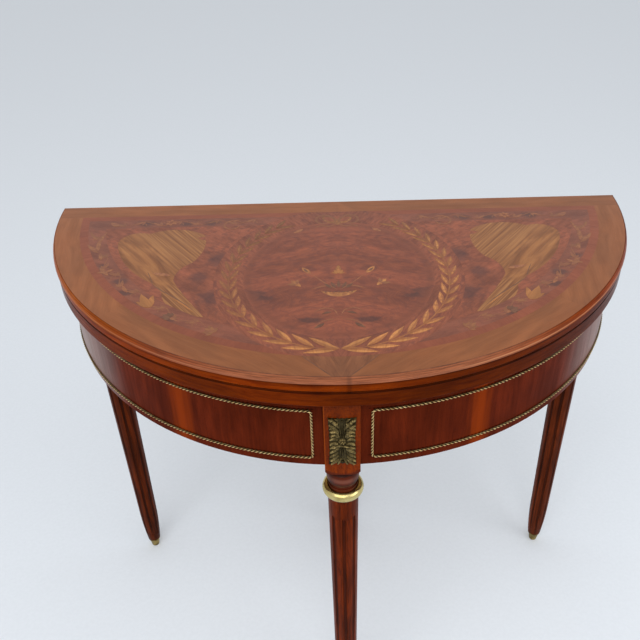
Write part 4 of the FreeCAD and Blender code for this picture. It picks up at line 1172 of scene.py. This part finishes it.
def make_dart_lines():
    """Dark lines along the sides of the wedge at the front of the border."""
    wedge = node_points("flap_front_dart")
    points = wedge[wedge[:, 0] > 0]
    shoulder = points[points[:, 0].argmax(), :2]
    tip = points[points[:, 1] < points[:, 1].min() + 0.5]
    tip = tip[tip[:, 0].argmax(), :2]
    inlay("dart_lines", "burnt_walnut", 0, pairs=[strip(np.linspace(shoulder, tip, 8), 1.2)])


def make_ribbon():
    """Two upright loops and short tails of the bow over the medallion."""
    loop = band(3.6, (1, -75), (6, -58), (18, -47), (30, -52), (33, -66), (24, -75), (8, -74))
    end = band(2.6, (2, -76), (12, -84), (26, -82), (34, -88))
    inlay("ribbon_inlay", "faint_satinwood", 0, pairs=[loop, end])


STEM_WIDTH = 1.8
STEM_START = 0.035
# Laurel pairs, and their sizes at the front of a branch and along its side
LAUREL_PAIRS = 17
LAUREL_FRONT_PAIRS = 5
LAUREL_START = 0.15
LAUREL_STEPS = (10.6, 8.0)
LAUREL_INNER_TILTS = (33.0, 25.0)
LAUREL_OUTER_TILTS = (10.0, 20.0)
LAUREL_LENGTHS = (43.0, 31.0)
LAUREL_HALF_WIDTHS = (4.5, 2.8)
LAUREL_BEND = 8.0


def laurel_turn(index):
    """Place of a pair of leaves on its branch, as a turn round the oval from the front."""
    step = index + LAUREL_START
    front = min(step, LAUREL_FRONT_PAIRS)
    return math.radians(front * LAUREL_STEPS[0] + (step - front) * LAUREL_STEPS[1])


def along_branch(index, ends):
    """Value that changes over the front pairs of a branch and then holds along the side of the oval."""
    return ends[0] + (ends[1] - ends[0]) * min(index / LAUREL_FRONT_PAIRS, 1.0)


def on_oval(turn):
    """Point of the wreath's line at a turn from the front."""
    return wreath_half_width * np.sin(turn), oval_centre - wreath_half_length * np.cos(turn)


def make_leaves():
    """Stem of the wreath, and laurel leaves whose inner half is darkened with hot sand."""
    stem = np.column_stack(on_oval(np.linspace(STEM_START, laurel_turn(LAUREL_PAIRS), 40)))
    light = [strip(stem, STEM_WIDTH)]
    shading = []
    for index in range(LAUREL_PAIRS):
        turn = laurel_turn(index)
        ahead = wreath_half_length * math.sin(turn)
        run = math.degrees(math.atan2(ahead, wreath_half_width * math.cos(turn)))
        length = along_branch(index, LAUREL_LENGTHS)
        half_width = along_branch(index, LAUREL_HALF_WIDTHS)
        for lean, tilts in ((1, LAUREL_INNER_TILTS), (-1, LAUREL_OUTER_TILTS)):
            root = onward(*on_oval(turn), run + lean * 90, 1.0)
            angle = run + lean * along_branch(index, tilts)
            left, right = leaf(*root, angle, length, half_width, LAUREL_BEND * lean)
            middle = (left + right) / 2
            light.append((left, right))
            shading.append((left, middle) if lean < 0 else (middle, right))
    front = oval_centre - wreath_half_length + 1.0
    for angle, length in ((24.0, 26.0), (4.0, 22.0)):
        light.append(leaf(0.6, front, angle, length, 2.6, LAUREL_BEND))
    inlay("leaf_lights", "satinwood", 0, pairs=light)
    inlay("leaf_shading", "burnt_satinwood", 1, pairs=shading)


make_rope("left", -1)
make_rope("right", 1)
make_plaque()
make_scrolls()
make_fan_lines()
make_bouquet()
make_dart_lines()
make_ribbon()
make_leaves()


# Floor, light and camera


FLOOR_HALF = 9.0


def make_floor():
    """Plain pale floor with a fine speck."""
    mesh = bpy.data.meshes.new("floor")
    corners = [(x * FLOOR_HALF, y * FLOOR_HALF, 0.0) for x, y in ((-1, -1), (1, -1), (1, 1), (-1, 1))]
    mesh.from_pydata(corners, [], [(0, 1, 2, 3)])
    floor = bpy.data.objects.new("floor", mesh)
    bpy.context.scene.collection.objects.link(floor)
    looks = Looks("floor")
    looks.set("Roughness", 0.9)
    looks.set("Specular IOR Level", 0.1)
    speck = looks.place().noise(1.5, detail=2.0)
    looks.set("Base Color", speck.ramp((0.3, (223, 229, 236)), (0.7, (226, 232, 239))))
    mesh.materials.append(looks.material)


WORLD_STRENGTH = 0.75
LAMP_TARGET = Vector((0.0, 0.0, 0.6))
# Name, place, size and power
LAMPS = (("key", (-0.5, -1.8, 2.9), 2.2, 42.0), ("fill", (1.9, -1.2, 2.2), 1.8, 16.0))


def make_light():
    """White world, and two soft lamps in front."""
    world = bpy.data.worlds.new("world")
    bpy.context.scene.world = world
    world.use_nodes = True
    backdrop = world.node_tree.nodes["Background"]
    backdrop.inputs["Color"].default_value = (1.0, 1.0, 1.0, 1.0)
    backdrop.inputs["Strength"].default_value = WORLD_STRENGTH
    for name, place, size, power in LAMPS:
        data = bpy.data.lights.new(name, "AREA")
        data.size = size
        data.energy = power
        lamp = bpy.data.objects.new(name, data)
        lamp.location = place
        lamp.rotation_euler = (LAMP_TARGET - Vector(place)).to_track_quat("-Z", "Y").to_euler()
        bpy.context.scene.collection.objects.link(lamp)


def make_camera():
    """Camera at the photograph's viewing angle."""
    data = bpy.data.cameras.new("camera")
    data.sensor_width = SENSOR_WIDTH
    data.lens = FOCAL_PIXELS / IMAGE_PIXELS * SENSOR_WIDTH
    camera = bpy.data.objects.new("camera", data)
    turn = Matrix((camera_right, camera_up, -camera_forward)).transposed()
    camera.matrix_world = Matrix.Translation(camera_place) @ turn.to_4x4()
    bpy.context.scene.collection.objects.link(camera)
    bpy.context.scene.camera = camera


make_floor()
make_light()
make_camera()
bpy.context.scene.view_settings.view_transform = "Standard"
